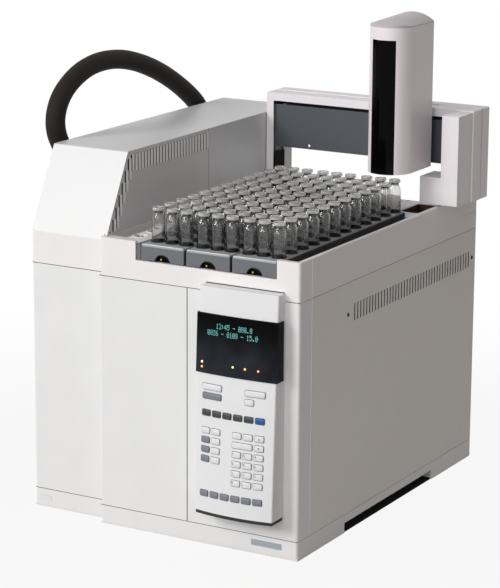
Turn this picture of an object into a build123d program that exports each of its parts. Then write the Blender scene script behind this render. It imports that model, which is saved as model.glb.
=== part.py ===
"""Headspace autosampler with three vial racks, a travelling gantry and a gripper tower.

Millimetres, +Z up, the front faces -Y and +X is to the right of a person in front of it.
The origin is on the bench, under the middle of everything but the hose.
"""
import math
import os

from build123d import *

os.makedirs("parts", exist_ok=True)

# Cabinet
cabinet_width = 536.0
cabinet_depth = 672.0
left_module_width = 151.0
left_setback = 21.6
foot_height = 3.0
plinth_top = 33.0
seam_height = 439.0
rim_rise = 66.0
panel_wall = 3.0
frame_wall = 2.0
seam_gap = 0.8
seam_depth = 0.8
corner_radius = 5.0
side_bezel = 41.0
door_seam_from_right = 212.0
overrun = 1.0

# Base and feet
base_margin = 30.0
base_floor = 4.0
foot_radius = 16.0
foot_inset = 44.0
foot_seat = 3.0
handhold_front = 166.0
handhold_length = 341.0
handhold_top = 18.0
handhold_depth = 18.0
power_key_width = 24.0
power_key_height = 9.0
power_key_from_left = 9.5
power_key_low = 12.0
power_key_depth = 9.0
power_key_proud = 0.6
power_key_travel = 1.5
key_clearance = 0.35

# Right side louvres
side_slot_count = 42
side_slot_width = 4.2
side_slot_drop = 70.0
side_slot_height = 30.0
side_slot_first = 190.0
side_slot_rear_room = 31.0

# Deck
rim_wall = 8.0
skin = 4.0
deck_left_drop = 5.0
deck_right_drop = 14.0
rear_ledge_drop = 35.0
rear_ledge_depth = 70.0
front_lip = 5.0
fold_drop = 10.6
trough_depth = 55.0
left_trough_width = 32.0
left_trough_start = 38.0
right_trough_width = 24.0
right_trough_start = 62.0
trough_end_wall = 7.0
rail_width = 8.0
rail_height = 10.0
rail_end_gap = 4.0

# Racks and vials
rack_count = 3
rack_width = 84.0
rack_pitch = 87.5
rack_right_margin = 44.4
rack_front_gap = 2.0
rack_rear_room = 208.0
rack_float = 0.4
rack_height = 27.1
rack_lip_wall = 3.0
rack_lip_rise = 1.6
rack_corner_radius = 3.0
cutout_drop = 32.0
recess_clearance = 1.2
strip_wall = 1.5
strip_rise = 5.0
rack_left_margin = 9.0
tray_thickness = 3.0
tray_rib_width = 2.2
tray_rib_height = 11.0
finger_radius = 15.8
finger_top_gap = 13.5
finger_depth = 20.0
vial_radius = 11.375
vial_height = 75.5
vial_rim_radius = 10.2
vial_neck_length = 6.0
vial_shoulder = 5.5
vial_stand = 59.0
vial_clearance = 0.45
socket_clearance = 1.4
vial_sides = 8
vial_columns = 3
vial_rows = 12
vial_pitch_x = 27.6
vial_front_margin = 33.5
vial_rear_margin = 14.7

# Priority cups
cup_count = 3
cup_x_from_split = 46.5
cup_first_row = 58.0
cup_pitch = 43.5
cup_outer_radius = 13.0
cup_flange_radius = 14.0
cup_flange_height = 0.8
cup_depth = 32.0
cup_floor = 2.0
cup_fit = 0.3

# Oven under the deck
oven_left = 75.0
oven_right = 38.0
oven_front_from_rear = 167.0
oven_rear_from_rear = 87.0
oven_place_from_rear = 137.0
oven_margin = 12.0
oven_block_depth = 100.0
oven_bore_depth = 35.0
oven_bore_clearance = 0.8

# Hood over the left module
hood_rise = 139.6
hood_rake_run = 71.0
hood_wall = 3.0
hood_seam = 360.0
hood_rear_gap = 4.0
hood_edge_radius = 2.5
louvre_count = 27
louvre_pitch = 9.85
louvre_width = 4.6
louvre_first = 101.3
louvre_top_gap = 6.5
louvre_height = 30.0
raked_louvre_count = 7
raked_length_share = 0.265
raked_gap_share = 0.104
raked_foot_share = 0.0645

# Keypad console
console_width = 148.0
console_right_margin = 27.4
console_top_rise = 13.0
console_bottom_drop = 365.0
console_proud_top = 20.0
console_proud_bottom = 38.0
console_bow_top = 2.5
console_bow_bottom = 8.0
console_wall = 3.0
visor_top_share = 0.8836
visor_bottom_share = 0.619
visor_proud = 2.2
visor_back = 7.0
key_pitch_x = 20.25
key_width = 16.4
key_height = 10.0
key_proud = 1.9
key_sunk = 1.9
key_well = 3.2
key_columns_from_right = 163.2
key_column_count = 6
key_row_a_share = 0.5728
key_row_b_share = 0.5328
key_row_c_share = 0.4571
key_row_d_share = 0.3783
key_row_pitch_share = 0.04233
key_row_j_share = 0.0958
led_radius = 2.0
led_length = 2.6
led_proud = 0.6
lamp_fit = 0.2
lamp_places = (165.5, 165.5, 105.8, 83.2, 59.1)
lamp_shares = (0.6672, 0.6455, 0.6646, 0.6638, 0.663)

# Gantry
gantry_rear_gap = 40.0
gantry_depth = 65.0
gantry_rear_depth = 30.0
gantry_groove = 3.0
gantry_height = 164.0
gantry_bar_height = 15.0
gantry_post_width = 14.0
gantry_overhang = 38.0
gantry_side_gap = 2.0
gantry_clearance = 3.0
cover_wall = 2.5
leg_gap = 0.6
beam_drop = 101.0
panel_drop = 22.0
beam_panel_wall = 2.0
beam_panel_inset = 6.0
bridge_low_drop = 82.0
bridge_high_drop = 20.0
leg_depth = 25.0
leg_wall = 10.0
trough_rail_inset = 9.7
panel_right_end = 10.0
panel_hole_inset = 72.5
panel_hole_rise = 6.5
bridge_wall = 6.0
cross_rail_drop = 68.0
carriage_grip = 9.0
shoe_length = 37.0
shoe_height = 20.0
shoe_margin = 2.0
shoe_width = 17.0
shoe_clearance = 0.3
x_rail_width = 12.0
x_rail_height = 7.0
pulley_radius = 8.0
pulley_flange_radius = 9.6
pulley_flange_wall = 1.0
pulley_end_inset = 25.0
pulley_right_x = 20.0
belt_wall = 1.2
belt_width = 8.0
belt_fit = 0.02
pulley_drop = 33.0
axle_radius = 2.5
axle_fit = 0.05

# Housing at the gantry's right end
housing_reach = 57.0
housing_foot_inner = 38.0
housing_column_inner = 2.4
housing_foot_height = 50.0
housing_drop = 2.0
motor_size = 28.0
motor_length = 34.0
motor_edge_radius = 3.0

# Tower and gripper
tower_x_from_right = 75.7
tower_bow_reach = 99.0
tower_radius = 40.2
tower_gap = 19.0
tower_drop = 102.0
tower_height = 258.0
tower_roof_edge = 2.0
tower_roof_rise = 14.0
tower_wall = 2.5
roof_run_shares = (0.0, 0.12, 0.4, 1.0)
roof_rise_shares = (0.12, 0.53, 0.76, 1.0)
window_half_width = 22.6
window_top_drop = 21.5
window_sunk = 0.6
window_wall = 1.8
window_fit = 0.2
carriage_width = 52.0
carriage_wall = 6.0
arm_drop = 21.0
arm_wall = 5.0
arm_width = 50.0
back_plate_wall = 4.0
back_plate_width = 70.0
back_plate_foot = 6.0
gripper_behind_bow = 18.0
guide_rod_radius = 4.0
guide_rod_spread = 22.0
guide_rod_gap = 24.0
guide_bore_fit = 0.05
guide_block_height = 12.0
guide_drop = 38.0
bracket_reach = 12.0
bracket_half_width = 30.0
screw_radius = 6.0
pin_x_offset = 22.0
pin_behind_bow = 6.0
screw_journal_radius = 3.0
screw_fit = 0.08
z_motor_size = 28.0
z_motor_height = 24.0
gripper_rise = 62.0
gripper_head_radius = 13.0
gripper_head_height = 40.0
gripper_stem_radius = 9.0
pusher_radius = 6.0
pusher_depth = 8.0
gripper_plate_lift = 52.0
jaw_length = 22.0
jaw_wall = 4.0
jaw_width = 12.0
jaw_gap = 0.2
jaw_rest_opening = 12.6
jaw_tip = 1.2
jaw_hollow_radius = 11.7
pin_seat_height = 13.0
pin_seat_radius = 8.0
pin_radius = 3.4
pin_cap_radius = 6.6
pin_cap_height = 10.0
spring_length = 57.0
spring_radius = 6.4
spring_wire_radius = 1.1
spring_wire_sides = 8
spring_turns = 6.5

# Transfer hose on the left side
hose_diameter = 34.8
hose_x_gap = 8.6
gland_length = 26.0
gland_radius = 22.0
gland_flange = 4.0
tip_radius = 7.0
tip_length = 34.0
tip_collar_radius = 19.0
tip_collar_length = 12.0
clip_wall = 4.0
clip_height = 26.0
clip_gap = 0.3

hose_depth_shares = (0.2798, 0.2232, 0.1942, 0.2247, 0.3065, 0.4018, 0.5149, 0.6339, 0.7545,
                     0.875, 0.9405, 0.9702)
hose_rises = (90.1, 121.6, 167.6, 212.6, 244.1, 257.1, 253.6, 233.1, 200.1, 154.1, 116.6, 71.6)
bend_share = 0.45
clip_back = 4.0
clip_mouth_share = 0.7

# Rear
fan_radius = 38.0
fan_hub_radius = 14.0
fan_blade_count = 7
fan_x_from_right = 120.0
fan_drop = 189.0
fan_depth = 20.0
fan_slot_radius = 41.0
fan_strap = 5.0
inlet_width = 48.0
inlet_height = 27.0
inlet_z = 90.0
inlet_x_from_left = 90.0
inlet_depth = 18.0
inlet_socket_wall = 5.0
rear_vent_count = 14
rear_vent_pitch = 12.0
rear_vent_width = 5.0
rear_vent_height = 60.0
rear_vent_drop = 109.0

# Places that follow from the sizes above
left_reach = hose_x_gap + hose_diameter / 2 + gland_radius
front_reach = console_proud_bottom + console_bow_bottom
x_left = left_reach - (left_reach + cabinet_width + gantry_overhang) / 2
x_right = x_left + cabinet_width
y_front = front_reach - (front_reach + cabinet_depth) / 2
y_rear = y_front + cabinet_depth
x_split = x_left + left_module_width
y_set = y_front + left_setback
x_door = x_right - door_seam_from_right
rim_height = seam_height + rim_rise
deck_left_height = rim_height - deck_left_drop
deck_right_height = rim_height - deck_right_drop
rear_ledge_height = rim_height - rear_ledge_drop
fold_height = rim_height - fold_drop
hood_height = fold_height + hood_rise
trough_floor = rim_height - trough_depth
x_trough_left = x_split + left_trough_width
x_trough_right = x_right - rim_wall - right_trough_width - seam_gap
y_deck_rear = y_rear - rear_ledge_depth
rack_left = x_right - rack_right_margin - (rack_count - 1) * rack_pitch - rack_width
recess_left = rack_left - rack_left_margin
recess_right = x_right - rack_right_margin + recess_clearance
strip_right = x_trough_right - strip_wall
rack_length = cabinet_depth - rack_rear_room
recess_rear = y_front + rack_front_gap + rack_length + recess_clearance
cutout_bottom = rim_height - cutout_drop
rack_bottom = cutout_bottom + rack_float
rack_top = rack_bottom + rack_height
tray_floor = cutout_bottom - tray_thickness
gantry_left = x_split + gantry_side_gap
gantry_right = x_right + gantry_overhang
tower_x = x_right - tower_x_from_right
g_rear = y_rear - gantry_rear_gap
g_front = g_rear - gantry_depth
g_split = g_rear - gantry_rear_depth
gantry_skirt = rim_height + gantry_clearance
gantry_top = gantry_skirt + gantry_height
tower_y = g_front - tower_bow_reach
tower_rear = g_front - tower_gap
tower_bottom = gantry_top - tower_drop
tower_shoulder = tower_bottom + tower_height
tower_apex = tower_shoulder + tower_roof_edge + tower_roof_rise
console_x = x_right - console_right_margin - console_width / 2
console_top = seam_height + console_top_rise
console_bottom = seam_height - console_bottom_drop
vial_top = rack_top + vial_stand
vial_bottom = vial_top - vial_height
vial_pitch_y = (rack_length - vial_front_margin - vial_rear_margin) / (vial_rows - 1)


def rack_x(index):
    """Middle of a rack, counted from the left."""
    return x_right - rack_right_margin - rack_width / 2 - (rack_count - 1 - index) * rack_pitch


def console_level(share):
    """Height of a place on the console, as a share of its height."""
    return console_bottom + share * (console_top - console_bottom)


def footprint(inset):
    """Outline of the cabinet seen from above, drawn in by a wall."""
    return [
        (x_left + inset, y_set + inset),
        (x_split + inset, y_set + inset),
        (x_split + inset, y_front + inset),
        (x_right - inset, y_front + inset),
        (x_right - inset, y_rear - inset),
        (x_left + inset, y_rear - inset),
    ]


def y_plane(y):
    """Upright plane facing the front, with X to the right and Z up."""
    return Plane(origin=(0, y, 0), x_dir=(1, 0, 0), z_dir=(0, -1, 0))


def prism(plane, points, length, mode=Mode.ADD):
    """Prism over an outline drawn on a plane."""
    with BuildSketch(plane, mode=Mode.PRIVATE) as face:
        with BuildLine():
            Polyline(*points, close=True)
        make_face()
    extrude(to_extrude=face.sketch, amount=length, mode=mode)


def column(points, low, high, mode=Mode.ADD):
    """Upright prism over a plan outline."""
    prism(Plane.XY.offset(low), points, high - low, mode)


def slab(x0, x1, y0, y1, z0, z1, mode=Mode.ADD):
    """Plain block between two corners, for walls, pockets and slots."""
    column([(x0, y0), (x1, y0), (x1, y1), (x0, y1)], z0, z1, mode)


def side_profile(points, x0, x1, mode=Mode.ADD):
    """Prism along X over an outline in Y and Z."""
    prism(Plane.YZ.offset(x0), points, x1 - x0, mode)


def front_profile(points, y0, y1, mode=Mode.ADD):
    """Prism along Y over an outline in X and Z."""
    prism(y_plane(y1), points, y1 - y0, mode)


def round_bar(plane, radius, length, mode=Mode.ADD):
    """Round bar or bore from a plane along its normal."""
    with BuildSketch(plane, mode=Mode.PRIVATE) as face:
        Circle(radius)
    extrude(to_extrude=face.sketch, amount=length, mode=mode)


def upright(x, y, z):
    """Level plane at a point."""
    return Plane(origin=(x, y, z), x_dir=(1, 0, 0), z_dir=(0, 0, 1))


def facing_back(x, y, z):
    """Plane at a point whose normal runs to the rear."""
    return Plane(origin=(x, y, z), x_dir=(-1, 0, 0), z_dir=(0, 1, 0))


def edges_at(part, x, y, low, high):
    """Upright edges at one corner of the plan."""
    found = []
    for edge in part.edges().filter_by(Axis.Z):
        middle = edge.center()
        if abs(middle.X - x) < seam_gap and abs(middle.Y - y) < seam_gap:
            if low <= middle.Z <= high:
                found.append(edge)
    return found


def save(builder, name):
    """Name a finished piece and write it."""
    builder.part.label = name
    export_step(builder.part, "parts/" + name + ".step")


# Base pan with its lifting handholds and the well of the power key
power_key_left = x_left + power_key_from_left
with BuildPart() as base_pan:
    column(footprint(0), foot_height, plinth_top)
    for corner in ((x_left, y_set), (x_split, y_front), (x_right, y_front)):
        fillet(edges_at(base_pan.part, *corner, foot_height, plinth_top), corner_radius)
    column(footprint(base_margin), foot_height + base_floor, plinth_top, Mode.SUBTRACT)
    for edge_x, inner_x in (
        (x_right + overrun, x_right - handhold_depth),
        (x_left - overrun, x_left + handhold_depth),
    ):
        slab(min(edge_x, inner_x), max(edge_x, inner_x), y_front + handhold_front,
             y_front + handhold_front + handhold_length, foot_height - overrun,
             handhold_top, Mode.SUBTRACT)
    slab(power_key_left, power_key_left + power_key_width, y_set - overrun,
         y_set + power_key_depth, power_key_low, power_key_low + power_key_height,
         Mode.SUBTRACT)
    for foot_x in (x_left + foot_inset, x_right - foot_inset):
        for foot_y in (y_set + foot_inset, y_rear - foot_inset):
            round_bar(upright(foot_x, foot_y, foot_height - overrun), foot_radius,
                      foot_seat + overrun, Mode.SUBTRACT)
save(base_pan, "base_pan")

with BuildPart() as levelling_feet:
    for foot_x in (x_left + foot_inset, x_right - foot_inset):
        for foot_y in (y_set + foot_inset, y_rear - foot_inset):
            round_bar(upright(foot_x, foot_y, 0), foot_radius, foot_height + foot_seat)
save(levelling_feet, "levelling_feet")

with BuildPart() as power_key:
    slab(power_key_left + key_clearance, power_key_left + power_key_width - key_clearance,
         y_set - power_key_proud, y_set + power_key_depth - power_key_travel - key_clearance,
         power_key_low + key_clearance, power_key_low + power_key_height - key_clearance)
save(power_key, "power_key")

# Chassis: a folded frame behind the panels and the wall between the two modules
with BuildPart() as chassis_frame:
    column(footprint(panel_wall), plinth_top, seam_height)
    column(footprint(panel_wall + frame_wall), plinth_top, seam_height, Mode.SUBTRACT)
    bulkhead_x = x_split + panel_wall
    slab(bulkhead_x, bulkhead_x + frame_wall, y_set, y_rear - panel_wall, plinth_top,
         seam_height)
    window_low = plinth_top + base_margin
    window_high = seam_height - base_margin
    slab(x_right - panel_wall - frame_wall - overrun, x_right,
         y_front + side_bezel + base_margin, y_rear - base_margin, window_low, window_high,
         Mode.SUBTRACT)
    slab(x_left, x_left + panel_wall + frame_wall + overrun, y_set + base_margin,
         y_rear - base_margin, window_low, window_high, Mode.SUBTRACT)
    slab(x_left + base_margin, x_split - base_margin, y_set,
         y_set + panel_wall + frame_wall + overrun, window_low, window_high, Mode.SUBTRACT)
    slab(x_split + base_margin, x_door - base_margin, y_front,
         y_front + panel_wall + frame_wall + overrun, window_low, window_high,
         Mode.SUBTRACT)
    for rear_left, rear_right in (
        (x_left + base_margin, x_split - base_margin),
        (x_split + base_margin, x_right - base_margin),
    ):
        slab(rear_left, rear_right, y_rear - panel_wall - frame_wall - overrun, y_rear,
             plinth_top + base_margin / 2, window_high, Mode.SUBTRACT)
save(chassis_frame, "chassis_frame")

# Panels stand on the base and under the deck with a hairline seam
panel_low = plinth_top + seam_gap
panel_high = seam_height - seam_gap

with BuildPart() as left_front_panel:
    column([
        (x_left, y_set), (x_split - seam_gap, y_set),
        (x_split - seam_gap, y_set + panel_wall), (x_left + panel_wall, y_set + panel_wall),
        (x_left + panel_wall, y_set + side_bezel - left_setback),
        (x_left, y_set + side_bezel - left_setback),
    ], panel_low, panel_high)
    fillet(edges_at(left_front_panel.part, x_left, y_set, panel_low, panel_high),
           corner_radius)
save(left_front_panel, "left_front_panel")

with BuildPart() as middle_front_panel:
    column([
        (x_split, y_front), (x_door - seam_gap / 2, y_front),
        (x_door - seam_gap / 2, y_front + panel_wall),
        (x_split + panel_wall, y_front + panel_wall),
        (x_split + panel_wall, y_set + panel_wall), (x_split, y_set + panel_wall),
    ], panel_low, panel_high)
    fillet(edges_at(middle_front_panel.part, x_split, y_front, panel_low, panel_high),
           corner_radius)
save(middle_front_panel, "middle_front_panel")

with BuildPart() as right_front_panel:
    column([
        (x_door + seam_gap / 2, y_front), (x_right, y_front),
        (x_right, y_front + side_bezel - seam_gap),
        (x_right - panel_wall, y_front + side_bezel - seam_gap),
        (x_right - panel_wall, y_front + panel_wall),
        (x_door + seam_gap / 2, y_front + panel_wall),
    ], panel_low, panel_high)
    fillet(edges_at(right_front_panel.part, x_right, y_front, panel_low, panel_high),
           corner_radius)
save(right_front_panel, "right_front_panel")

side_slot_pitch = (cabinet_depth - side_slot_first - side_slot_rear_room) / (
    side_slot_count - 1)
with BuildPart() as right_side_panel:
    slab(x_right - panel_wall, x_right, y_front + side_bezel, y_rear, panel_low, panel_high)
    with BuildSketch(Plane.YZ.offset(x_right - panel_wall - overrun)):
        for step in range(side_slot_count):
            slot_y = y_front + side_slot_first + side_slot_width / 2 + step * side_slot_pitch
            with Locations((slot_y, seam_height - side_slot_drop + side_slot_height / 2)):
                Rectangle(side_slot_width, side_slot_height)
    extrude(amount=panel_wall + 2 * overrun, mode=Mode.SUBTRACT)
save(right_side_panel, "right_side_panel")

with BuildPart() as left_side_panel:
    slab(x_left, x_left + panel_wall, y_set + side_bezel - left_setback + seam_gap, y_rear,
         panel_low, panel_high)
save(left_side_panel, "left_side_panel")

# Rear panel with the fan's guard, a row of vents and the power inlet's cut-out
fan_x = x_right - fan_x_from_right
fan_z = seam_height - fan_drop
rear_vent_z = seam_height - rear_vent_drop
inlet_x = x_left + inlet_x_from_left
with BuildPart() as rear_panel:
    slab(x_left + panel_wall, x_right - panel_wall, y_rear - panel_wall, y_rear, panel_low,
         panel_high)
    with BuildSketch(facing_back(fan_x, y_rear - panel_wall - overrun, fan_z)):
        Circle(fan_slot_radius)
        for ring_share in (0.34, 0.62):
            Circle(fan_slot_radius * (ring_share + 0.08), mode=Mode.SUBTRACT)
            Circle(fan_slot_radius * ring_share)
        Rectangle(2 * fan_slot_radius + overrun, fan_strap, mode=Mode.SUBTRACT)
        Rectangle(fan_strap, 2 * fan_slot_radius + overrun, mode=Mode.SUBTRACT)
    extrude(amount=panel_wall + 2 * overrun, mode=Mode.SUBTRACT)
    slab(inlet_x - inlet_width / 2, inlet_x + inlet_width / 2, y_rear - panel_wall - overrun,
         y_rear + overrun, inlet_z - inlet_height / 2, inlet_z + inlet_height / 2,
         Mode.SUBTRACT)
    for step in range(rear_vent_count):
        vent_x = fan_x + (step - (rear_vent_count - 1) / 2) * rear_vent_pitch
        slab(vent_x - rear_vent_width / 2, vent_x + rear_vent_width / 2,
             y_rear - panel_wall - overrun, y_rear + overrun, rear_vent_z,
             rear_vent_z + rear_vent_height, Mode.SUBTRACT)
save(rear_panel, "rear_panel")

with BuildPart() as power_inlet:
    inlet_low = inlet_z - inlet_height / 2
    inlet_high = inlet_z + inlet_height / 2
    slab(inlet_x - inlet_width / 2, inlet_x + inlet_width / 2,
         y_rear - inlet_depth, y_rear, inlet_low, inlet_high)
    slab(inlet_x - inlet_width / 2 + inlet_socket_wall,
         inlet_x + inlet_width / 2 - inlet_socket_wall,
         y_rear - inlet_depth + inlet_socket_wall, y_rear + overrun,
         inlet_low + inlet_socket_wall, inlet_high - inlet_socket_wall, Mode.SUBTRACT)
    for pin in (-1, 0, 1):
        pin_x = inlet_x + pin * inlet_socket_wall * 2
        slab(pin_x - inlet_socket_wall / 5, pin_x + inlet_socket_wall / 5,
             y_rear - inlet_depth + inlet_socket_wall, y_rear - inlet_socket_wall,
             inlet_z - inlet_socket_wall / 2, inlet_z + inlet_socket_wall / 2)
save(power_inlet, "power_inlet")

# Fan behind the guard: a frame ring with a spindle, and the bladed rotor
with BuildPart() as fan_frame:
    fan_face = y_rear - panel_wall
    with BuildSketch(facing_back(fan_x, fan_face - fan_depth, fan_z)):
        Rectangle(2 * fan_slot_radius + 2 * frame_wall, 2 * fan_slot_radius + 2 * frame_wall)
        Circle(fan_slot_radius, mode=Mode.SUBTRACT)
    extrude(amount=fan_depth)
    with BuildSketch(facing_back(fan_x, fan_face - fan_depth, fan_z)):
        Rectangle(2 * fan_slot_radius + frame_wall, fan_strap)
        Circle(fan_hub_radius)
    extrude(amount=frame_wall)
    round_bar(facing_back(fan_x, fan_face - fan_depth, fan_z), axle_radius,
              fan_depth - frame_wall)
save(fan_frame, "fan_frame")

with BuildPart() as fan_rotor:
    rotor_y = fan_face - fan_depth + 2 * frame_wall
    rotor_length = fan_depth - 4 * frame_wall
    round_bar(facing_back(fan_x, rotor_y, fan_z), fan_hub_radius, rotor_length)
    for blade in range(fan_blade_count):
        turn = 360 * blade / fan_blade_count
        blade_plane = Plane(origin=(fan_x, rotor_y + rotor_length / 2, fan_z),
                            x_dir=(0, 1, 0), z_dir=(math.cos(math.radians(turn)), 0,
                                                    math.sin(math.radians(turn))))
        with BuildSketch(blade_plane.offset(fan_hub_radius - frame_wall)):
            Rectangle(rotor_length, frame_wall / 2, rotation=40)
        extrude(amount=fan_radius - fan_hub_radius + frame_wall)
    round_bar(facing_back(fan_x, rotor_y - overrun, fan_z), axle_radius + axle_fit,
              rotor_length + 2 * overrun, Mode.SUBTRACT)
save(fan_rotor, "fan_rotor")

# Upper body: the deck, the rack well and the wells for the gantry's legs in one moulding
step_radius = corner_radius * 2
trough_rear = y_rear - trough_end_wall
deck_levels = (
    (x_left - overrun, x_split, y_set - overrun, y_rear + overrun, fold_height),
    (x_split, recess_left, y_front + rim_wall, y_deck_rear, deck_left_height),
    (recess_right, x_right - rim_wall, y_front + rim_wall, y_deck_rear, deck_right_height),
    (recess_left - overrun, recess_right, recess_rear, y_deck_rear, deck_right_height),
    (x_split, x_right + overrun, y_deck_rear, y_rear + overrun, rear_ledge_height),
)
troughs = (
    (x_split + seam_gap, x_trough_left, y_front + left_trough_start),
    (x_trough_right, x_right - rim_wall - seam_gap, y_front + right_trough_start),
)
oven_box = (x_right - oven_left, x_right - oven_right, y_rear - oven_front_from_rear,
            y_rear - oven_rear_from_rear)
with BuildPart() as upper_body:
    column(footprint(0), seam_height, rim_height)
    fillet(edges_at(upper_body.part, x_left, y_set, seam_height, rim_height), corner_radius)
    fillet(edges_at(upper_body.part, x_split, y_front, seam_height, rim_height),
           step_radius)
    fillet(edges_at(upper_body.part, x_split, y_set, seam_height, rim_height),
           corner_radius)
    fillet(edges_at(upper_body.part, x_right, y_front, seam_height, rim_height),
           corner_radius)
    for x0, x1, y0, y1, level in deck_levels:
        slab(x0, x1, y0, y1, level, rim_height + overrun, Mode.SUBTRACT)
    slab(recess_left, recess_right, y_front + rim_wall, recess_rear, tray_floor,
         rim_height + overrun, Mode.SUBTRACT)
    slab(recess_left, recess_right, y_front - overrun, y_front + rim_wall, cutout_bottom,
         rim_height + overrun, Mode.SUBTRACT)
    slab(recess_right - overrun, strip_right, y_front + rim_wall, recess_rear, tray_floor,
         rim_height + overrun, Mode.SUBTRACT)
    side_profile([
        (y_front + rim_wall, deck_left_height), (y_front + front_lip, rim_height),
        (y_front + front_lip, rim_height + overrun),
        (y_front + rim_wall + overrun, rim_height + overrun),
        (y_front + rim_wall + overrun, deck_left_height),
    ], x_split + step_radius, recess_left, Mode.SUBTRACT)
    under = seam_height - overrun
    for x0, x1, y0 in troughs:
        slab(x0, x1, y0, trough_rear, trough_floor, rim_height + overrun, Mode.SUBTRACT)
    slab(x_left + skin, x_split - skin, y_set + skin, y_rear - skin, under,
         fold_height - skin, Mode.SUBTRACT)
    slab(x_trough_left + skin, recess_left - skin, y_front + skin, y_deck_rear - skin, under,
         deck_left_height - skin, Mode.SUBTRACT)
    slab(recess_left, x_trough_right - skin, y_front + skin, recess_rear, under,
         tray_floor - skin, Mode.SUBTRACT)
    slab(recess_left, x_trough_right - skin, recess_rear + skin, y_deck_rear - skin, under,
         deck_right_height - skin, Mode.SUBTRACT)
    slab(x_trough_left + skin, x_trough_right - skin, y_deck_rear, y_rear - skin, under,
         rear_ledge_height - skin, Mode.SUBTRACT)
    slab(*oven_box, tray_floor, rim_height + overrun, Mode.SUBTRACT)
    bezel_y = y_front + side_bezel
    slab(x_right - seam_depth, x_right + overrun, bezel_y - seam_gap, bezel_y,
         seam_height - overrun, rim_height + overrun, Mode.SUBTRACT)
    slab(x_right - rim_wall - overrun, x_right + overrun, bezel_y - seam_gap, bezel_y,
         rim_height - seam_depth, rim_height + overrun, Mode.SUBTRACT)
    for step in range(cup_count):
        round_bar(upright(x_split + cup_x_from_split, y_front + cup_first_row
                          + step * cup_pitch, deck_left_height - cup_depth - overrun),
                  cup_outer_radius + cup_fit, rim_height, Mode.SUBTRACT)
save(upper_body, "upper_body")

with BuildPart() as rack_tray:
    tray_front = y_front + rim_wall + key_clearance
    tray_rear = recess_rear - recess_clearance / 2
    slab(recess_left + key_clearance, strip_right - key_clearance, tray_front, tray_rear,
         tray_floor, cutout_bottom)
    slab(recess_right, strip_right - key_clearance, tray_front, tray_rear, cutout_bottom,
         cutout_bottom + strip_rise)
    for index in range(rack_count - 1):
        rib_x = rack_x(index) + rack_pitch / 2
        slab(rib_x - tray_rib_width / 2, rib_x + tray_rib_width / 2,
             tray_front + rim_wall, tray_rear, cutout_bottom,
             cutout_bottom + tray_rib_height)
save(rack_tray, "rack_tray")

with BuildPart() as priority_cups:
    for step in range(cup_count):
        cup_place = (x_split + cup_x_from_split, y_front + cup_first_row + step * cup_pitch)
        round_bar(upright(*cup_place, deck_left_height - cup_depth), cup_outer_radius,
                  cup_depth)
        round_bar(upright(*cup_place, deck_left_height), cup_flange_radius,
                  cup_flange_height)
        round_bar(upright(*cup_place, deck_left_height - cup_depth + cup_floor),
                  vial_radius + vial_clearance, cup_depth + cup_flange_height,
                  Mode.SUBTRACT)
save(priority_cups, "priority_cups")

# Oven block hung under the deck opening, with one bored vial place and a lined throat
oven_x = x_right - (oven_left + oven_right) / 2
oven_y = y_rear - oven_place_from_rear
block_top = deck_right_height - skin
with BuildPart() as oven_block:
    x0, x1, y0, y1 = oven_box
    slab(x0 - oven_margin / 2, x1 + overrun, y0 - oven_margin, y1 + oven_margin,
         block_top - oven_block_depth, block_top)
    slab(x0 + key_clearance, x1 - key_clearance, y0 + key_clearance, y1 - key_clearance,
         block_top, deck_right_height - overrun)
    slab(x0 + key_clearance + overrun, x1 - key_clearance - overrun,
         y0 + key_clearance + overrun, y1 - key_clearance - overrun,
         block_top - oven_margin, rim_height, Mode.SUBTRACT)
    round_bar(upright(oven_x, oven_y, block_top - oven_margin - oven_bore_depth),
              vial_radius + oven_bore_clearance, oven_bore_depth + overrun, Mode.SUBTRACT)
save(oven_block, "oven_block")


# Racks: moulded blocks with vial sockets and an arched finger pull in front
rack_front = y_front + rack_front_gap
rack_names = ("left_rack", "middle_rack", "right_rack")
vial_names = ("left_rack_vials", "middle_rack_vials", "right_rack_vials")


def vial_places(index):
    """Middles of all the vials in one rack."""
    places = []
    for row in range(vial_rows):
        for place in range(vial_columns):
            places.append((
                rack_x(index) + (place - (vial_columns - 1) / 2) * vial_pitch_x,
                rack_front + vial_front_margin + row * vial_pitch_y,
            ))
    return places


for index in range(rack_count):
    middle = rack_x(index)
    with BuildPart() as rack:
        slab(middle - rack_width / 2, middle + rack_width / 2, rack_front,
             rack_front + rack_length, rack_bottom, rack_top)
        corners = rack.part.edges().filter_by(Axis.Z)
        fillet(corners, rack_corner_radius)
        slab(middle - rack_width / 2 + rack_lip_wall, middle + rack_width / 2
             - rack_lip_wall, rack_front, rack_front + rack_lip_wall, rack_top - overrun,
             rack_top + rack_lip_rise)
        with BuildSketch(upright(middle, 0, vial_bottom), mode=Mode.PRIVATE) as sockets:
            for place_x, place_y in vial_places(index):
                with Locations((place_x - middle, place_y)):
                    RegularPolygon(vial_radius + socket_clearance, vial_sides,
                                   major_radius=False, rotation=180 / vial_sides)
        extrude(to_extrude=sockets.sketch, amount=rack_top, mode=Mode.SUBTRACT)
        arch_z = rack_top - finger_top_gap - finger_radius
        round_bar(facing_back(middle, rack_front - overrun, arch_z), finger_radius,
                  finger_depth + overrun, Mode.SUBTRACT)
    save(rack, rack_names[index])
    with BuildPart() as vials:
        body_top = vial_top - vial_neck_length - vial_shoulder
        for radius, low, high in (
            (vial_radius, vial_bottom, body_top),
            (vial_rim_radius, body_top, vial_top),
        ):
            with BuildSketch(upright(middle, 0, low), mode=Mode.PRIVATE) as rounds:
                for place_x, place_y in vial_places(index):
                    with Locations((place_x - middle, place_y)):
                        RegularPolygon(radius, vial_sides, major_radius=False)
            extrude(to_extrude=rounds.sketch, amount=high - low)
    save(vials, vial_names[index])

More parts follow.
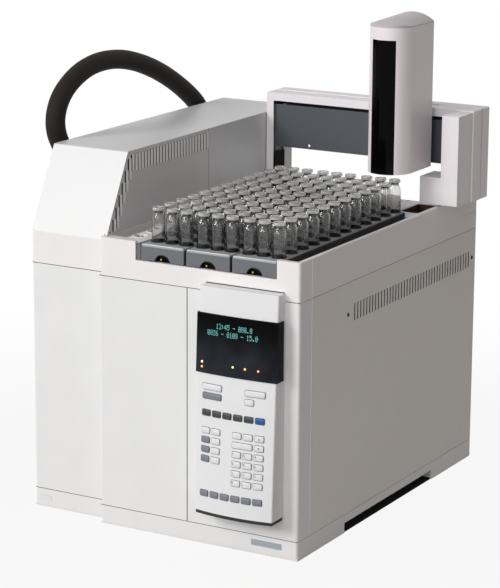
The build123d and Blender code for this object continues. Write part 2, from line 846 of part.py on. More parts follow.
# Hood over the left module in a front and a rear cover with a hairline between them
hood_left = x_left + seam_gap / 2
rake_run = hood_rake_run
hood_peak = y_set + rake_run
hood_back = y_rear - hood_rear_gap
hood_split = y_front + hood_seam
with BuildPart() as hood_front_cover:
    side_profile([
        (y_set, fold_height), (hood_split - seam_gap, fold_height),
        (hood_split - seam_gap, hood_height), (hood_peak, hood_height),
    ], hood_left, x_split)
    crease = []
    for edge in hood_front_cover.part.edges().filter_by(Axis.X):
        if abs(edge.center().Z - hood_height) < seam_gap:
            if abs(edge.center().Y - hood_peak) < seam_gap:
                crease.append(edge)
    fillet(crease, hood_edge_radius)
    foot = fold_height - overrun
    inner_run = rake_run * hood_wall / (hood_height - fold_height)
    side_profile([
        (y_set + hood_wall, foot), (hood_split, foot),
        (hood_split, hood_height - hood_wall),
        (hood_peak + hood_wall - inner_run, hood_height - hood_wall),
    ], hood_left + hood_wall, x_split - hood_wall, Mode.SUBTRACT)
    louvre_high = hood_height - louvre_top_gap
    with BuildSketch(Plane.YZ.offset(x_split - hood_wall - overrun),
                     mode=Mode.PRIVATE) as louvres:
        for step in range(louvre_count - 1):
            with Locations((y_front + louvre_first + step * louvre_pitch
                            + louvre_width / 2, louvre_high - louvre_height / 2)):
                Rectangle(louvre_width, louvre_height)
        for step in range(raked_louvre_count):
            slot_y = y_front + louvre_first + louvre_width / 2 - (step + 1) * louvre_pitch
            high_share = (slot_y - y_set) / rake_run - raked_gap_share
            low_share = max(high_share - raked_length_share, raked_foot_share)
            with Locations((slot_y, fold_height + hood_rise * (high_share + low_share) / 2)):
                Rectangle(louvre_width, hood_rise * (high_share - low_share))
    extrude(to_extrude=louvres.sketch, amount=hood_wall + 2 * overrun, mode=Mode.SUBTRACT)
save(hood_front_cover, "hood_front_cover")

with BuildPart() as hood_rear_cover:
    slab(hood_left, x_split, hood_split, hood_back, fold_height, hood_height)
    slab(hood_left + hood_wall, x_split - hood_wall, hood_split - overrun,
         hood_back - hood_wall, fold_height - overrun, hood_height - hood_wall,
         Mode.SUBTRACT)
save(hood_rear_cover, "hood_rear_cover")


# Keypad console: a bowed wedge that stands off the front and grows towards its foot
def bow(half, sag, dx):
    """How far an arc has dropped behind its middle at a distance from it."""
    radius = (half * half + sag * sag) / (2 * sag)
    return radius - math.sqrt(radius * radius - dx * dx)


def face_y(x, z):
    """Front of the console at a place on it."""
    up = (z - console_bottom) / (console_top - console_bottom)
    proud = console_proud_bottom + up * (console_proud_top - console_proud_bottom)
    sag = console_bow_bottom + up * (console_bow_top - console_bow_bottom)
    drop = bow(console_width / 2, sag, abs(x - console_x)) if sag > 0 else 0
    return y_front - proud - sag + drop


def bowed_section(z, grow):
    """Closed outline of the console at one height, grown by a wall."""
    half = console_width / 2 + grow
    edge_y = face_y(console_x + console_width / 2, z) - grow
    with BuildSketch(upright(0, 0, z), mode=Mode.PRIVATE) as section:
        with BuildLine():
            left = (console_x - half, edge_y)
            right = (console_x + half, edge_y)
            crown = (console_x, face_y(console_x, z) - grow)
            ThreePointArc(left, crown, right)
            Line(right, (right[0], y_front))
            Line((right[0], y_front), (left[0], y_front))
            Line((left[0], y_front), left)
        make_face()
    return section.sketch


with BuildPart() as keypad_console:
    loft(sections=[bowed_section(console_bottom, 0), bowed_section(console_top, 0)],
         ruled=True)
    rim_edges = []
    for edge in keypad_console.part.edges():
        middle = edge.center()
        if abs(abs(middle.X - console_x) - console_width / 2) < seam_gap:
            if middle.Y < y_front - console_proud_top / 2:
                if abs(middle.Z - (console_top + console_bottom) / 2) < key_pitch_x:
                    rim_edges.append(edge)
    fillet(rim_edges, console_wall)

visor_bottom = console_level(visor_bottom_share)
visor_top = console_level(visor_top_share)

with BuildPart() as display_visor:
    loft(sections=[bowed_section(visor_bottom, visor_proud),
                   bowed_section(visor_top, visor_proud)], ruled=True)
    slab(console_x - console_width, console_x + console_width, y_front - visor_back,
         y_front + overrun, visor_bottom - overrun, visor_top + overrun, Mode.SUBTRACT)
    add(keypad_console.part, mode=Mode.SUBTRACT)


def face_plane(x, z, lift):
    """Plane on the console's front at a place, with its normal to the front."""
    step = key_width / 4
    slope_x = (face_y(x + step, z) - face_y(x - step, z)) / (2 * step)
    slope_z = (face_y(x, z + step) - face_y(x, z - step)) / (2 * step)
    along = Vector(1, slope_x, 0).normalized()
    above = Vector(0, slope_z, 1).normalized()
    normal = along.cross(above)
    origin = Vector(x, face_y(x, z), z) + normal * lift
    return Plane(origin=origin, x_dir=along, z_dir=normal)


# Keys as row heights above the bench, columns from the left and spans in columns
key_left = x_right - key_columns_from_right
key_rows = {
    "a": console_level(key_row_a_share), "b": console_level(key_row_b_share),
    "c": console_level(key_row_c_share), "j": console_level(key_row_j_share),
}
for step, row in enumerate("defghi"):
    key_rows[row] = console_level(key_row_d_share - step * key_row_pitch_share)
lamps = [(x_right - place, console_level(share))
         for place, share in zip(lamp_places, lamp_shares)]
key_groups = {
    "select_keys": [("a", 0, 2), ("b", 0, 2), ("a", 4, 2), ("b", 4, 1)],
    "menu_keys": [("c", 0, 1), ("c", 1, 1), ("c", 2, 1), ("c", 3, 1), ("c", 4, 1)],
    "start_key": [("c", 5, 1)],
    "function_keys": [(row, place, 1) for row in "defg" for place in (0, 1)]
    + [("j", place, 1) for place in range(key_column_count)],
    "number_keys": [("d", 3, 1), ("d", 4, 1), ("d", 5, 1), ("e", 3, 2), ("e", 5, 1)]
    + [(row, place, 1) for row in "fghi" for place in (3, 4, 5)],
}


def key_block(key, low, high, grow, mode=Mode.ADD):
    """One key or its well, between two levels measured out from the console's face."""
    row, place, span = key
    width = key_width + (span - 1) * key_pitch_x
    middle_x = key_left + place * key_pitch_x + width / 2
    middle_z = key_rows[row] - key_height / 2
    with BuildSketch(face_plane(middle_x, middle_z, low), mode=Mode.PRIVATE) as face:
        Rectangle(width + 2 * grow, key_height + 2 * grow)
    extrude(to_extrude=face.sketch, amount=high - low, mode=mode)


def lamp_bar(lamp, low, high, radius, mode=Mode.ADD):
    """One lamp or its hole, between two levels measured out from the display."""
    face = face_plane(*lamp, visor_proud + low)
    round_bar(face, radius, high - low, mode)


with BuildPart() as keypad_console_cut:
    add(keypad_console.part)
    for keys in key_groups.values():
        for key in keys:
            key_block(key, -key_well, key_well, key_clearance, Mode.SUBTRACT)
    for lamp in lamps:
        lamp_bar(lamp, -led_length, led_length, led_radius + lamp_fit, Mode.SUBTRACT)
save(keypad_console_cut, "keypad_console")

with BuildPart() as display_visor_cut:
    add(display_visor.part)
    for lamp in lamps:
        lamp_bar(lamp, -led_length - overrun, led_length, led_radius + lamp_fit,
                 Mode.SUBTRACT)
save(display_visor_cut, "display_visor")

with BuildPart() as indicator_lamps:
    for lamp in lamps:
        lamp_bar(lamp, -led_length, led_proud, led_radius)
save(indicator_lamps, "indicator_lamps")

for name, keys in key_groups.items():
    with BuildPart() as key_set:
        for key in keys:
            key_block(key, -key_sunk, key_proud, 0)
    save(key_set, name)


# Places on the gantry, counted from its top, its front and the cabinet's right side
def across(distance):
    """Place to the left of the right side, or past it when negative."""
    return x_right - distance


beam_bottom = gantry_top - beam_drop
panel_top = gantry_top - panel_drop
bridge_low = gantry_top - bridge_low_drop
bridge_high = gantry_top - bridge_high_drop
cross_rail_low = gantry_top - cross_rail_drop
pulley_z = gantry_top - pulley_drop
inner_left = gantry_left + gantry_post_width
inner_right = gantry_right - gantry_post_width
bar_low = gantry_top - gantry_bar_height
panel_y = g_front + beam_panel_inset
leg_front = panel_y + beam_panel_wall
bridge_y = leg_front + leg_depth
rail_x_left = x_split + seam_gap + trough_rail_inset
rail_x_right = (x_trough_right + x_right - rim_wall - seam_gap) / 2
leg_left_x = rail_x_left
leg_right_x = rail_x_right

with BuildPart() as gantry_front_cover:
    slab(gantry_left, gantry_right, g_front, g_split - gantry_groove / 2, gantry_skirt,
         gantry_top)
    outer_edges = gantry_front_cover.part.edges().filter_by(Axis.Y).sort_by(Axis.Z)[-2:]
    fillet(outer_edges, cover_wall)
    slab(inner_left, inner_right, g_front - overrun, g_rear, gantry_skirt - overrun, bar_low,
         Mode.SUBTRACT)
    slab(gantry_left + cover_wall, gantry_right - cover_wall, g_front + cover_wall, g_rear,
         gantry_skirt - overrun, gantry_top - cover_wall, Mode.SUBTRACT)
save(gantry_front_cover, "gantry_front_cover")

with BuildPart() as gantry_rear_cover:
    cover_y = g_split + gantry_groove / 2
    slab(gantry_left, gantry_right, cover_y, g_rear, gantry_skirt, gantry_top)
    outer_edges = gantry_rear_cover.part.edges().filter_by(Axis.Y).sort_by(Axis.Z)[-2:]
    fillet(outer_edges, cover_wall)
    slab(inner_left, inner_right, cover_y - overrun, g_rear + overrun,
         gantry_skirt - overrun, beam_bottom, Mode.SUBTRACT)
    slab(gantry_left + cover_wall, gantry_right - cover_wall, cover_y - overrun,
         g_rear - cover_wall, gantry_skirt - overrun, gantry_top - cover_wall,
         Mode.SUBTRACT)
    for wall_x in (inner_left - cover_wall, inner_right):
        slab(wall_x, wall_x + cover_wall, bridge_y + bridge_wall + cover_wall,
             g_rear - cover_wall, gantry_skirt, beam_bottom)
save(gantry_rear_cover, "gantry_rear_cover")

with BuildPart() as beam_panel:
    slab(gantry_left + cover_wall + leg_gap, across(-panel_right_end), panel_y, leg_front,
         beam_bottom, panel_top)
    round_bar(facing_back(inner_left + panel_hole_inset, panel_y - overrun,
                          beam_bottom + panel_hole_rise), axle_radius,
              beam_panel_wall + 2 * overrun, Mode.SUBTRACT)
save(beam_panel, "beam_panel")

# Bridge, legs and shoes carry the gantry along the two rails in the wells
shoe_low = trough_floor + shoe_clearance + overrun
leg_low = shoe_low + shoe_height
pulley_left_x = gantry_left + pulley_end_inset
pulley_right = across(-pulley_right_x)
belt_front = bridge_y - pulley_flange_wall - belt_width - pulley_flange_wall / 2
with BuildPart() as gantry_bridge:
    slab(gantry_left + cover_wall + leg_gap, gantry_right - cover_wall - leg_gap, bridge_y,
         bridge_y + bridge_wall, bridge_low, bridge_high)
    for leg_x in (leg_left_x, leg_right_x):
        slab(leg_x - leg_wall / 2, leg_x + leg_wall / 2, leg_front, bridge_y, leg_low,
             bridge_high)
    slab(leg_right_x - leg_wall, leg_right_x + leg_wall, belt_front - 2 * overrun, bridge_y,
         pulley_z - pulley_flange_radius - overrun, pulley_z + pulley_flange_radius
         + overrun, Mode.SUBTRACT)
    round_bar(facing_back(pulley_left_x, belt_front, pulley_z), axle_radius,
              bridge_y - belt_front)
save(gantry_bridge, "gantry_bridge")

with BuildPart() as gantry_shoes:
    for rail_x in (rail_x_left, rail_x_right):
        slab(rail_x - shoe_width / 2, rail_x + shoe_width / 2, leg_front - shoe_margin,
             leg_front - shoe_margin + shoe_length, shoe_low, leg_low)
        slab(rail_x - rail_width / 2 - shoe_clearance, rail_x + rail_width / 2
             + shoe_clearance, leg_front - shoe_margin - overrun,
             leg_front + shoe_length, shoe_low - overrun,
             trough_floor + rail_height + shoe_clearance, Mode.SUBTRACT)
save(gantry_shoes, "gantry_shoes")

with BuildPart() as leg_rails:
    for rail_x, start in ((rail_x_left, left_trough_start),
                          (rail_x_right, right_trough_start)):
        slab(rail_x - rail_width / 2, rail_x + rail_width / 2, y_front + start + rail_end_gap,
             trough_rear - rail_end_gap, trough_floor, trough_floor + rail_height)
save(leg_rails, "leg_rails")

with BuildPart() as cross_rail:
    slab(leg_left_x + leg_wall / 2 + leg_gap, leg_right_x - leg_wall / 2 - leg_gap,
         bridge_y - x_rail_height, bridge_y, cross_rail_low, cross_rail_low + x_rail_width)
save(cross_rail, "cross_rail")

# Belt loop with its two flanged pulleys
with BuildPart() as cross_belt:
    outer = pulley_radius + belt_fit + belt_wall
    with BuildSketch(facing_back((pulley_left_x + pulley_right) / 2, belt_front, pulley_z),
                     mode=Mode.PRIVATE) as loop:
        SlotCenterToCenter(pulley_right - pulley_left_x, 2 * outer)
        SlotCenterToCenter(pulley_right - pulley_left_x, 2 * (pulley_radius + belt_fit),
                           mode=Mode.SUBTRACT)
    extrude(to_extrude=loop.sketch, amount=belt_width)
save(cross_belt, "cross_belt")

for name, pulley_x in (("idler_pulley", pulley_left_x), ("drive_pulley", pulley_right)):
    with BuildPart() as pulley:
        flange_y = belt_front - pulley_flange_wall
        round_bar(facing_back(pulley_x, flange_y + belt_fit, pulley_z), pulley_radius,
                  belt_width + 2 * pulley_flange_wall - 2 * belt_fit)
        for side_y in (flange_y - belt_fit, belt_front + belt_width + belt_fit):
            round_bar(facing_back(pulley_x, side_y, pulley_z), pulley_flange_radius,
                      pulley_flange_wall)
        round_bar(facing_back(pulley_x, flange_y - overrun, pulley_z),
                  axle_radius + axle_fit, belt_width + 4 * overrun, Mode.SUBTRACT)
    save(pulley, name)

# Housing at the gantry's right end, with the cross drive's motor in its column
housing_y = g_front - housing_reach
housing_foot_top = gantry_skirt + housing_foot_height
column_x = across(-housing_column_inner)
with BuildPart() as end_housing:
    foot_x = across(housing_foot_inner)
    foot_low = gantry_skirt + leg_gap
    front_profile([
        (foot_x, foot_low), (gantry_right, foot_low),
        (gantry_right, gantry_top - housing_drop), (column_x, gantry_top - housing_drop),
        (column_x, housing_foot_top), (foot_x, housing_foot_top),
    ], housing_y, g_front)
    corner_edges = end_housing.part.edges().filter_by(Axis.Y).sort_by(Axis.Z)[-2:]
    fillet(corner_edges, cover_wall)
    front_profile([
        (foot_x + cover_wall, foot_low + cover_wall),
        (gantry_right - cover_wall, foot_low + cover_wall),
        (gantry_right - cover_wall, gantry_top - housing_drop - cover_wall),
        (column_x + cover_wall, gantry_top - housing_drop - cover_wall),
        (column_x + cover_wall, housing_foot_top - cover_wall),
        (foot_x + cover_wall, housing_foot_top - cover_wall),
    ], housing_y + cover_wall, g_front + overrun, Mode.SUBTRACT)
save(end_housing, "end_housing")

with BuildPart() as cross_motor:
    slab(pulley_right - motor_size / 2, pulley_right + motor_size / 2,
         g_front - motor_length, g_front, pulley_z - motor_size / 2,
         pulley_z + motor_size / 2)
    fillet(cross_motor.part.edges().filter_by(Axis.Y), motor_edge_radius)
    round_bar(facing_back(pulley_right, g_front, pulley_z), axle_radius,
              bridge_y - g_front)
save(cross_motor, "cross_motor")


# Tower: a D-shaped shell with a domed roof and a curved smoked window
window_top = tower_shoulder - window_top_drop
arm_low = gantry_top - arm_drop
arm_high = arm_low + arm_wall


def d_column(inset, low, high, mode=Mode.ADD):
    """Upright body over the tower's plan drawn in by a wall."""
    with BuildSketch(upright(tower_x, tower_y, low), mode=Mode.PRIVATE) as outline:
        with BuildLine():
            half = tower_radius - inset
            rear = tower_rear - tower_y - inset
            ThreePointArc((-half, 0), (0, -half), (half, 0))
            Polyline((half, 0), (half, rear), (-half, rear), (-half, 0))
        make_face()
    extrude(to_extrude=outline.sketch, amount=high - low, mode=mode)


with BuildPart() as tower_shell:
    d_column(0, tower_bottom, tower_shoulder)
    d_column(tower_wall, tower_bottom - overrun, tower_shoulder + overrun, Mode.SUBTRACT)
    slab(tower_x - window_half_width, tower_x + window_half_width,
         tower_y - tower_radius - overrun, tower_y, tower_bottom - overrun, window_top,
         Mode.SUBTRACT)
    slab(tower_x - arm_width / 2 - leg_gap, tower_x + arm_width / 2 + leg_gap,
         tower_rear - tower_wall - overrun, tower_rear + overrun, arm_low - leg_gap,
         arm_high + leg_gap, Mode.SUBTRACT)
save(tower_shell, "tower_shell")

roof_front = tower_y - tower_radius
roof_line = tower_shoulder + tower_roof_edge
roof_arches = []
for run, rise in zip(roof_run_shares, roof_rise_shares):
    with BuildSketch(y_plane(roof_front + run * (tower_rear - roof_front)),
                     mode=Mode.PRIVATE) as arch:
        with BuildLine():
            left = (tower_x - tower_radius, roof_line)
            right = (tower_x + tower_radius, roof_line)
            ThreePointArc(left, (tower_x, roof_line + rise * tower_roof_rise), right)
            Polyline(right, (right[0], tower_shoulder), (left[0], tower_shoulder), left)
        make_face()
    roof_arches.append(arch.sketch)
with BuildPart() as tower_roof:
    loft(sections=roof_arches, ruled=True)
    d_column(0, tower_shoulder - overrun, tower_apex + overrun, Mode.INTERSECT)
save(tower_roof, "tower_roof")

with BuildPart() as tower_window:
    d_column(window_sunk, tower_bottom, window_top - window_fit)
    d_column(window_sunk + window_wall, tower_bottom - overrun, window_top, Mode.SUBTRACT)
    keep_half = window_half_width - window_fit
    far = tower_radius * 3
    slab(tower_x - far, tower_x + far, tower_y - tower_radius / 2, tower_rear + far,
         tower_bottom - overrun, window_top, Mode.SUBTRACT)
    for x0, x1 in ((tower_x - far, tower_x - keep_half), (tower_x + keep_half, tower_x + far)):
        slab(x0, x1, tower_y - far, tower_rear, tower_bottom - overrun, window_top,
             Mode.SUBTRACT)
save(tower_window, "tower_window")

# Backbone: carriage on the cross rail, arm through the slot, plate inside the tower
spine_rear = tower_rear - tower_wall
spine_front = spine_rear - back_plate_wall
guide_high = tower_shoulder - guide_drop
guide_y = tower_rear - guide_rod_gap
low_bracket = tower_bottom + back_plate_foot
bracket_front = guide_y - bracket_reach
carriage_y = belt_front - pulley_flange_wall - leg_gap
with BuildPart() as tower_backbone:
    slab(tower_x - back_plate_width / 2, tower_x + back_plate_width / 2, spine_front,
         spine_rear, low_bracket, guide_high + back_plate_foot)
    for low in (low_bracket, guide_high):
        slab(tower_x - bracket_half_width, tower_x + bracket_half_width, bracket_front,
             spine_rear, low, low + back_plate_foot)
    slab(tower_x - arm_width / 2, tower_x + arm_width / 2, spine_rear, carriage_y, arm_low,
         arm_high)
    slab(tower_x - carriage_width / 2, tower_x + carriage_width / 2,
         carriage_y - carriage_wall, carriage_y, cross_rail_low - carriage_grip, arm_high)
    for low, high in (
        (cross_rail_low - carriage_grip, cross_rail_low - shoe_clearance),
        (cross_rail_low + x_rail_width + shoe_clearance,
         cross_rail_low + x_rail_width + carriage_grip),
    ):
        slab(tower_x - carriage_width / 2, tower_x + carriage_width / 2, carriage_y,
             bridge_y - leg_gap, low, high)
    for low in (low_bracket, guide_high):
        round_bar(upright(tower_x, guide_y, low - overrun),
                  screw_journal_radius + screw_fit, back_plate_foot + 2 * overrun,
                  Mode.SUBTRACT)
save(tower_backbone, "tower_backbone")

with BuildPart() as guide_rods:
    rod_low = low_bracket + back_plate_foot
    for side in (-1, 1):
        round_bar(upright(tower_x + side * guide_rod_spread, guide_y, rod_low),
                  guide_rod_radius, guide_high - rod_low)
save(guide_rods, "guide_rods")

with BuildPart() as lift_motor:
    with BuildSketch(upright(tower_x, guide_y, guide_high + back_plate_foot),
                     mode=Mode.PRIVATE) as square:
        RectangleRounded(z_motor_size, z_motor_size, motor_edge_radius)
    extrude(to_extrude=square.sketch, amount=z_motor_height)
save(lift_motor, "lift_motor")

with BuildPart() as lead_screw:
    round_bar(upright(tower_x, guide_y, rod_low + leg_gap), screw_radius,
              guide_high - rod_low - 2 * leg_gap)
    round_bar(upright(tower_x, guide_y, low_bracket + leg_gap),
              screw_journal_radius, guide_high + back_plate_foot - low_bracket
              - 2 * leg_gap)
save(lead_screw, "lead_screw")

# Gripper: a block on the guide rods, a stem and a head with two sliding jaws
gripper_rest = tower_bottom + gripper_rise
head_low = gripper_rest + jaw_length
head_high = head_low + gripper_head_height
plate_low = head_high + gripper_plate_lift
grip_y = tower_y + gripper_behind_bow
with BuildPart() as gripper_slide:
    slab(tower_x - bracket_half_width, tower_x + bracket_half_width, bracket_front,
         spine_front - leg_gap, plate_low, plate_low + guide_block_height)
    slab(tower_x - gripper_stem_radius, tower_x + gripper_stem_radius, grip_y,
         bracket_front, plate_low, plate_low + guide_block_height)
    round_bar(upright(tower_x, grip_y, head_high), gripper_stem_radius,
              gripper_plate_lift + guide_block_height)
    round_bar(upright(tower_x, grip_y, head_low), gripper_head_radius, gripper_head_height)
    round_bar(upright(tower_x, grip_y, head_low - overrun), pusher_radius,
              pusher_depth + overrun, Mode.SUBTRACT)
    for side in (-1, 1):
        round_bar(upright(tower_x + side * guide_rod_spread, guide_y,
                          plate_low - overrun), guide_rod_radius + guide_bore_fit,
                  guide_block_height + 2 * overrun, Mode.SUBTRACT)
    round_bar(upright(tower_x, guide_y, plate_low - overrun),
              screw_radius + screw_fit, guide_block_height + 2 * overrun, Mode.SUBTRACT)
save(gripper_slide, "gripper_slide")

for name, side in (("front_jaw", -1), ("rear_jaw", 1)):
    inner_y = grip_y + side * jaw_rest_opening
    outer_y = inner_y + side * jaw_wall
    tip_y = inner_y - side * jaw_tip
    with BuildPart() as jaw:
        side_profile([
            (inner_y, head_low - jaw_gap), (outer_y, head_low - jaw_gap),
            (outer_y, gripper_rest), (tip_y, gripper_rest),
            (tip_y, gripper_rest + jaw_wall), (inner_y, gripper_rest + jaw_wall + jaw_tip),
        ], tower_x - jaw_width / 2, tower_x + jaw_width / 2)
        round_bar(upright(tower_x, grip_y, gripper_rest - overrun), jaw_hollow_radius,
                  jaw_wall + jaw_tip + overrun, Mode.SUBTRACT)
    save(jaw, name)

# Sprung guard pin beside the gripper
post_x = tower_x - pin_x_offset
post_y = tower_y + pin_behind_bow
spring_low = tower_bottom + pin_seat_height
spring_high = spring_low + spring_length
with BuildPart() as guard_pin:
    round_bar(upright(post_x, post_y, tower_bottom + leg_gap), pin_seat_radius,
              pin_seat_height - leg_gap)
    slab(tower_x - tower_radius + tower_wall, post_x, post_y - pin_seat_radius / 2,
         post_y + pin_seat_radius / 2, tower_bottom + leg_gap, spring_low)
    round_bar(upright(post_x, post_y, spring_low), pin_radius, spring_length)
    round_bar(upright(post_x, post_y, spring_high), pin_cap_radius, pin_cap_height)
save(guard_pin, "guard_pin")

with BuildPart() as guard_spring:
    turn_height = spring_length - 2 * spring_wire_radius
    with BuildLine() as coil:
        Helix(pitch=turn_height / spring_turns, height=turn_height, radius=spring_radius,
              center=(post_x, post_y, spring_low + spring_wire_radius))
    with BuildSketch(coil.line ^ 0):
        RegularPolygon(spring_wire_radius, spring_wire_sides)
    sweep(is_frenet=True)
save(guard_spring, "guard_spring")
print("spring: gap between curls", round(turn_height / spring_turns
                                         - 2 * spring_wire_radius, 2))

# Transfer hose: out of the hood's gland, up and back over the hood to its parking clip
hose_x = x_left - hose_x_gap - hose_diameter / 2
hose_corners = [(hose_x, y_front + share * cabinet_depth, fold_height + rise)
                for share, rise in zip(hose_depth_shares, hose_rises)]


def run_length(index):
    """Length of one straight run between two corners of the route."""
    return (Vector(*hose_corners[index + 1]) - Vector(*hose_corners[index])).length


hose_bends = []
for index in range(1, len(hose_corners) - 1):
    before = Vector(*hose_corners[index]) - Vector(*hose_corners[index - 1])
    after = Vector(*hose_corners[index + 1]) - Vector(*hose_corners[index])
    turn = math.radians(before.get_angle(after))
    shorter = min(run_length(index - 1), run_length(index))
    hose_bends.append(bend_share * shorter / math.tan(turn / 2))

with BuildPart() as transfer_hose:
    with BuildLine() as hose_line:
        FilletPolyline(*hose_corners, radius=hose_bends)
    with BuildSketch(Plane(origin=hose_corners[0], z_dir=hose_line.line % 0)):
        Circle(hose_diameter / 2)
    sweep()
save(transfer_hose, "transfer_hose")
hose_section = math.pi * (hose_diameter / 2) ** 2
hose_length = sum(edge.length for edge in hose_line.line.edges())
print("hose: length", round(hose_length, 1), "volume over section by length",
      round(transfer_hose.part.volume / (hose_section * hose_length), 4))
print("hose: runs", [round(run_length(index), 1) for index in range(len(hose_corners) - 1)])
print("hose: bend radii", [round(radius, 1) for radius in hose_bends])

hose_start = Vector(*hose_corners[0])
hose_end = Vector(*hose_corners[-1])
start_out = (hose_start - Vector(*hose_corners[1])).normalized()
end_out = (hose_end - Vector(*hose_corners[-2])).normalized()
with BuildPart() as hose_gland:
    mouth = Plane(origin=hose_start, x_dir=(1, 0, 0), z_dir=start_out)
    round_bar(mouth, gland_radius, gland_length)
    with BuildSketch(mouth.offset(gland_flange), mode=Mode.PRIVATE) as foot_face:
        with Locations(((hood_left - hose_x) / 2, 0)):
            Rectangle(hood_left - hose_x, gland_radius)
    extrude(to_extrude=foot_face.sketch, amount=gland_length - gland_flange)
    slab(hood_left, x_right, y_front - cabinet_depth, y_rear + cabinet_depth, 0,
         cabinet_depth * 2, Mode.SUBTRACT)

with BuildPart() as hose_fitting:
    tail = Plane(origin=hose_end, x_dir=(1, 0, 0), z_dir=end_out)
    round_bar(tail, tip_collar_radius, tip_collar_length)
    round_bar(tail.offset(tip_collar_length), tip_radius, tip_length)
save(hose_fitting, "hose_fitting")

with BuildPart() as hose_clip:
    saddle = Plane(origin=hose_end - end_out * clip_back, x_dir=(1, 0, 0), z_dir=-end_out)
    with BuildSketch(saddle, mode=Mode.PRIVATE) as ring:
        Circle(hose_diameter / 2 + clip_gap + clip_wall)
        with Locations(((hood_left - hose_x) / 2, 0)):
            Rectangle(hood_left - hose_x, hose_diameter / 2)
        Circle(hose_diameter / 2 + clip_gap, mode=Mode.SUBTRACT)
        with Locations((-hose_diameter / 2, 0)):
            Rectangle(hose_diameter, hose_diameter * clip_mouth_share, mode=Mode.SUBTRACT)
    extrude(to_extrude=ring.sketch, amount=clip_height)
    slab(hood_left, x_right, y_front - cabinet_depth, y_rear + cabinet_depth, 0,
         cabinet_depth * 2, Mode.SUBTRACT)
with BuildPart() as hose_holders:
    add(hose_gland.part)
    add(hose_clip.part)
save(hose_holders, "hose_holders")
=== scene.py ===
"""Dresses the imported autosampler: finishes, vials, racks, keypad, display, hose and the studio."""
import math

import bmesh
import bpy
from bpy.props import (FloatProperty, FloatVectorProperty, IntProperty, PointerProperty,
                       StringProperty)
from mathutils import Matrix, Vector


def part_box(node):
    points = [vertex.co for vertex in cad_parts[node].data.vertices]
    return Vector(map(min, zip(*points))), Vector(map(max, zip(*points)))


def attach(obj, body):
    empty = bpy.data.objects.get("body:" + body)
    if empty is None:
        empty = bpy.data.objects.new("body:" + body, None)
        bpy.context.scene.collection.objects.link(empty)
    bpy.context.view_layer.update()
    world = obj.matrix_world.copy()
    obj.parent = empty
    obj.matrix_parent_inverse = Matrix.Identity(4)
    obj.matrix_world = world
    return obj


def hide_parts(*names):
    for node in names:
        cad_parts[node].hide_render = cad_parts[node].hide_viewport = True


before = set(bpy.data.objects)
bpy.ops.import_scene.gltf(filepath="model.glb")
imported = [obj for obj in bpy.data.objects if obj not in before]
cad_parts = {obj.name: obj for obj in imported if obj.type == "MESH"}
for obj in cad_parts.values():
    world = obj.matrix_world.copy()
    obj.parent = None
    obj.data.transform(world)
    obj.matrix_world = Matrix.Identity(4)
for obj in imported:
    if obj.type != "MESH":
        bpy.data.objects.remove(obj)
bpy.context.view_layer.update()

bl_info = {
    "name": "Headspace Autosampler",
    "version": (1, 0, 0),
    "blender": (4, 5, 0),
    "location": "View3D > Sidebar > Autosampler",
    "description": "Dresses a packed autosampler and sets it on a plain studio floor",
    "category": "Object",
}

MM = 0.001
X_WAY, Y_WAY, Z_WAY = Vector((1, 0, 0)), Vector((0, 1, 0)), Vector((0, 0, 1))
# Places are measured from the cabinet's right side and front
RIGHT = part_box("right_side_panel")[1][0]
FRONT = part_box("right_front_panel")[0][1]
# The cabinet's left side and rear, and the corner where the left module stands back
LEFT, REAR = -536.0, 672.0
STEP_X, STEP_Y = -385.0, 21.6


def linear(code):
    """Linear colour of an sRGB hex value."""
    values = [int(code[place:place + 2], 16) / 255 for place in (1, 3, 5)]
    return tuple(v / 12.92 if v <= 0.04045 else ((v + 0.055) / 1.055) ** 2.4 for v in values)


def at(x, y, z):
    """Point from millimetres: x from the right side, y from the front, z from the bench."""
    return Vector((RIGHT + x * MM, FRONT + y * MM, z * MM))


def colour_prop(name, words, code):
    """Colour setting with its default as a hex value."""
    return FloatVectorProperty(name=name, description=words, default=linear(code), size=3,
                               min=0, max=1, subtype="COLOR")


class SamplerColours(bpy.types.PropertyGroup):
    """Colours of the autosampler's finishes."""
    coat: colour_prop("Coated steel", "Panels of both modules", "#e9e9e9")
    moulding: colour_prop("Deck moulding", "Deck and surround", "#efebeb")
    # The side colour is the coat tinted warm as painted shade
    side: colour_prop("Side panel", "Coat of the side sheets", "#ebe8e3")
    hood: colour_prop("Hood", "Hood over the left module", "#dedede")
    console: colour_prop("Console", "Keypad housing", "#e7e7e8")
    gantry: colour_prop("Gantry covers", "Covers of the travelling gantry", "#f2edf0")
    tower: colour_prop("Tower", "Shell of the tower", "#f3ebee")
    beam: colour_prop("Beam panel", "Dark panel in the portal", "#4a4e54")
    rack: colour_prop("Rack front", "Grey face of a rack", "#65676b")
    hose: colour_prop("Hose sleeve", "Sleeve of the transfer hose", "#1d1916")
    key_white: colour_prop("White keys", "Number and choice keys", "#e2e2e4")
    key_grey: colour_prop("Grey keys", "Function keys", "#767983")
    key_dark: colour_prop("Dark keys", "Menu keys", "#2b2d31")
    key_blue: colour_prop("Blue key", "Start key", "#004c8c")
    digits: colour_prop("Display digits", "Glow of the display", "#7fe0dc")


class SamplerSizes(bpy.types.PropertyGroup):
    """Sizes that a user may change."""
    edge: FloatProperty(name="Edge radius", description="Softened edge of sheet and mouldings",
                        default=0.8 * MM, min=0, max=3 * MM, subtype="DISTANCE", unit="LENGTH")
    key_crown: FloatProperty(name="Key edge", description="Rounding of a key's top edge",
                             default=0.9 * MM, min=0, max=2 * MM, subtype="DISTANCE",
                             unit="LENGTH")
    glass_sides: IntProperty(name="Vial sides", description="Facets round each vial",
                             default=20, min=8, max=48)
    display_top: StringProperty(name="Upper row", description="Digits on the display's upper row",
                                default="12:45 - 080.0")
    display_low: StringProperty(name="Lower row", description="Digits on the display's lower row",
                                default="0036 - 0108 - 15.0")


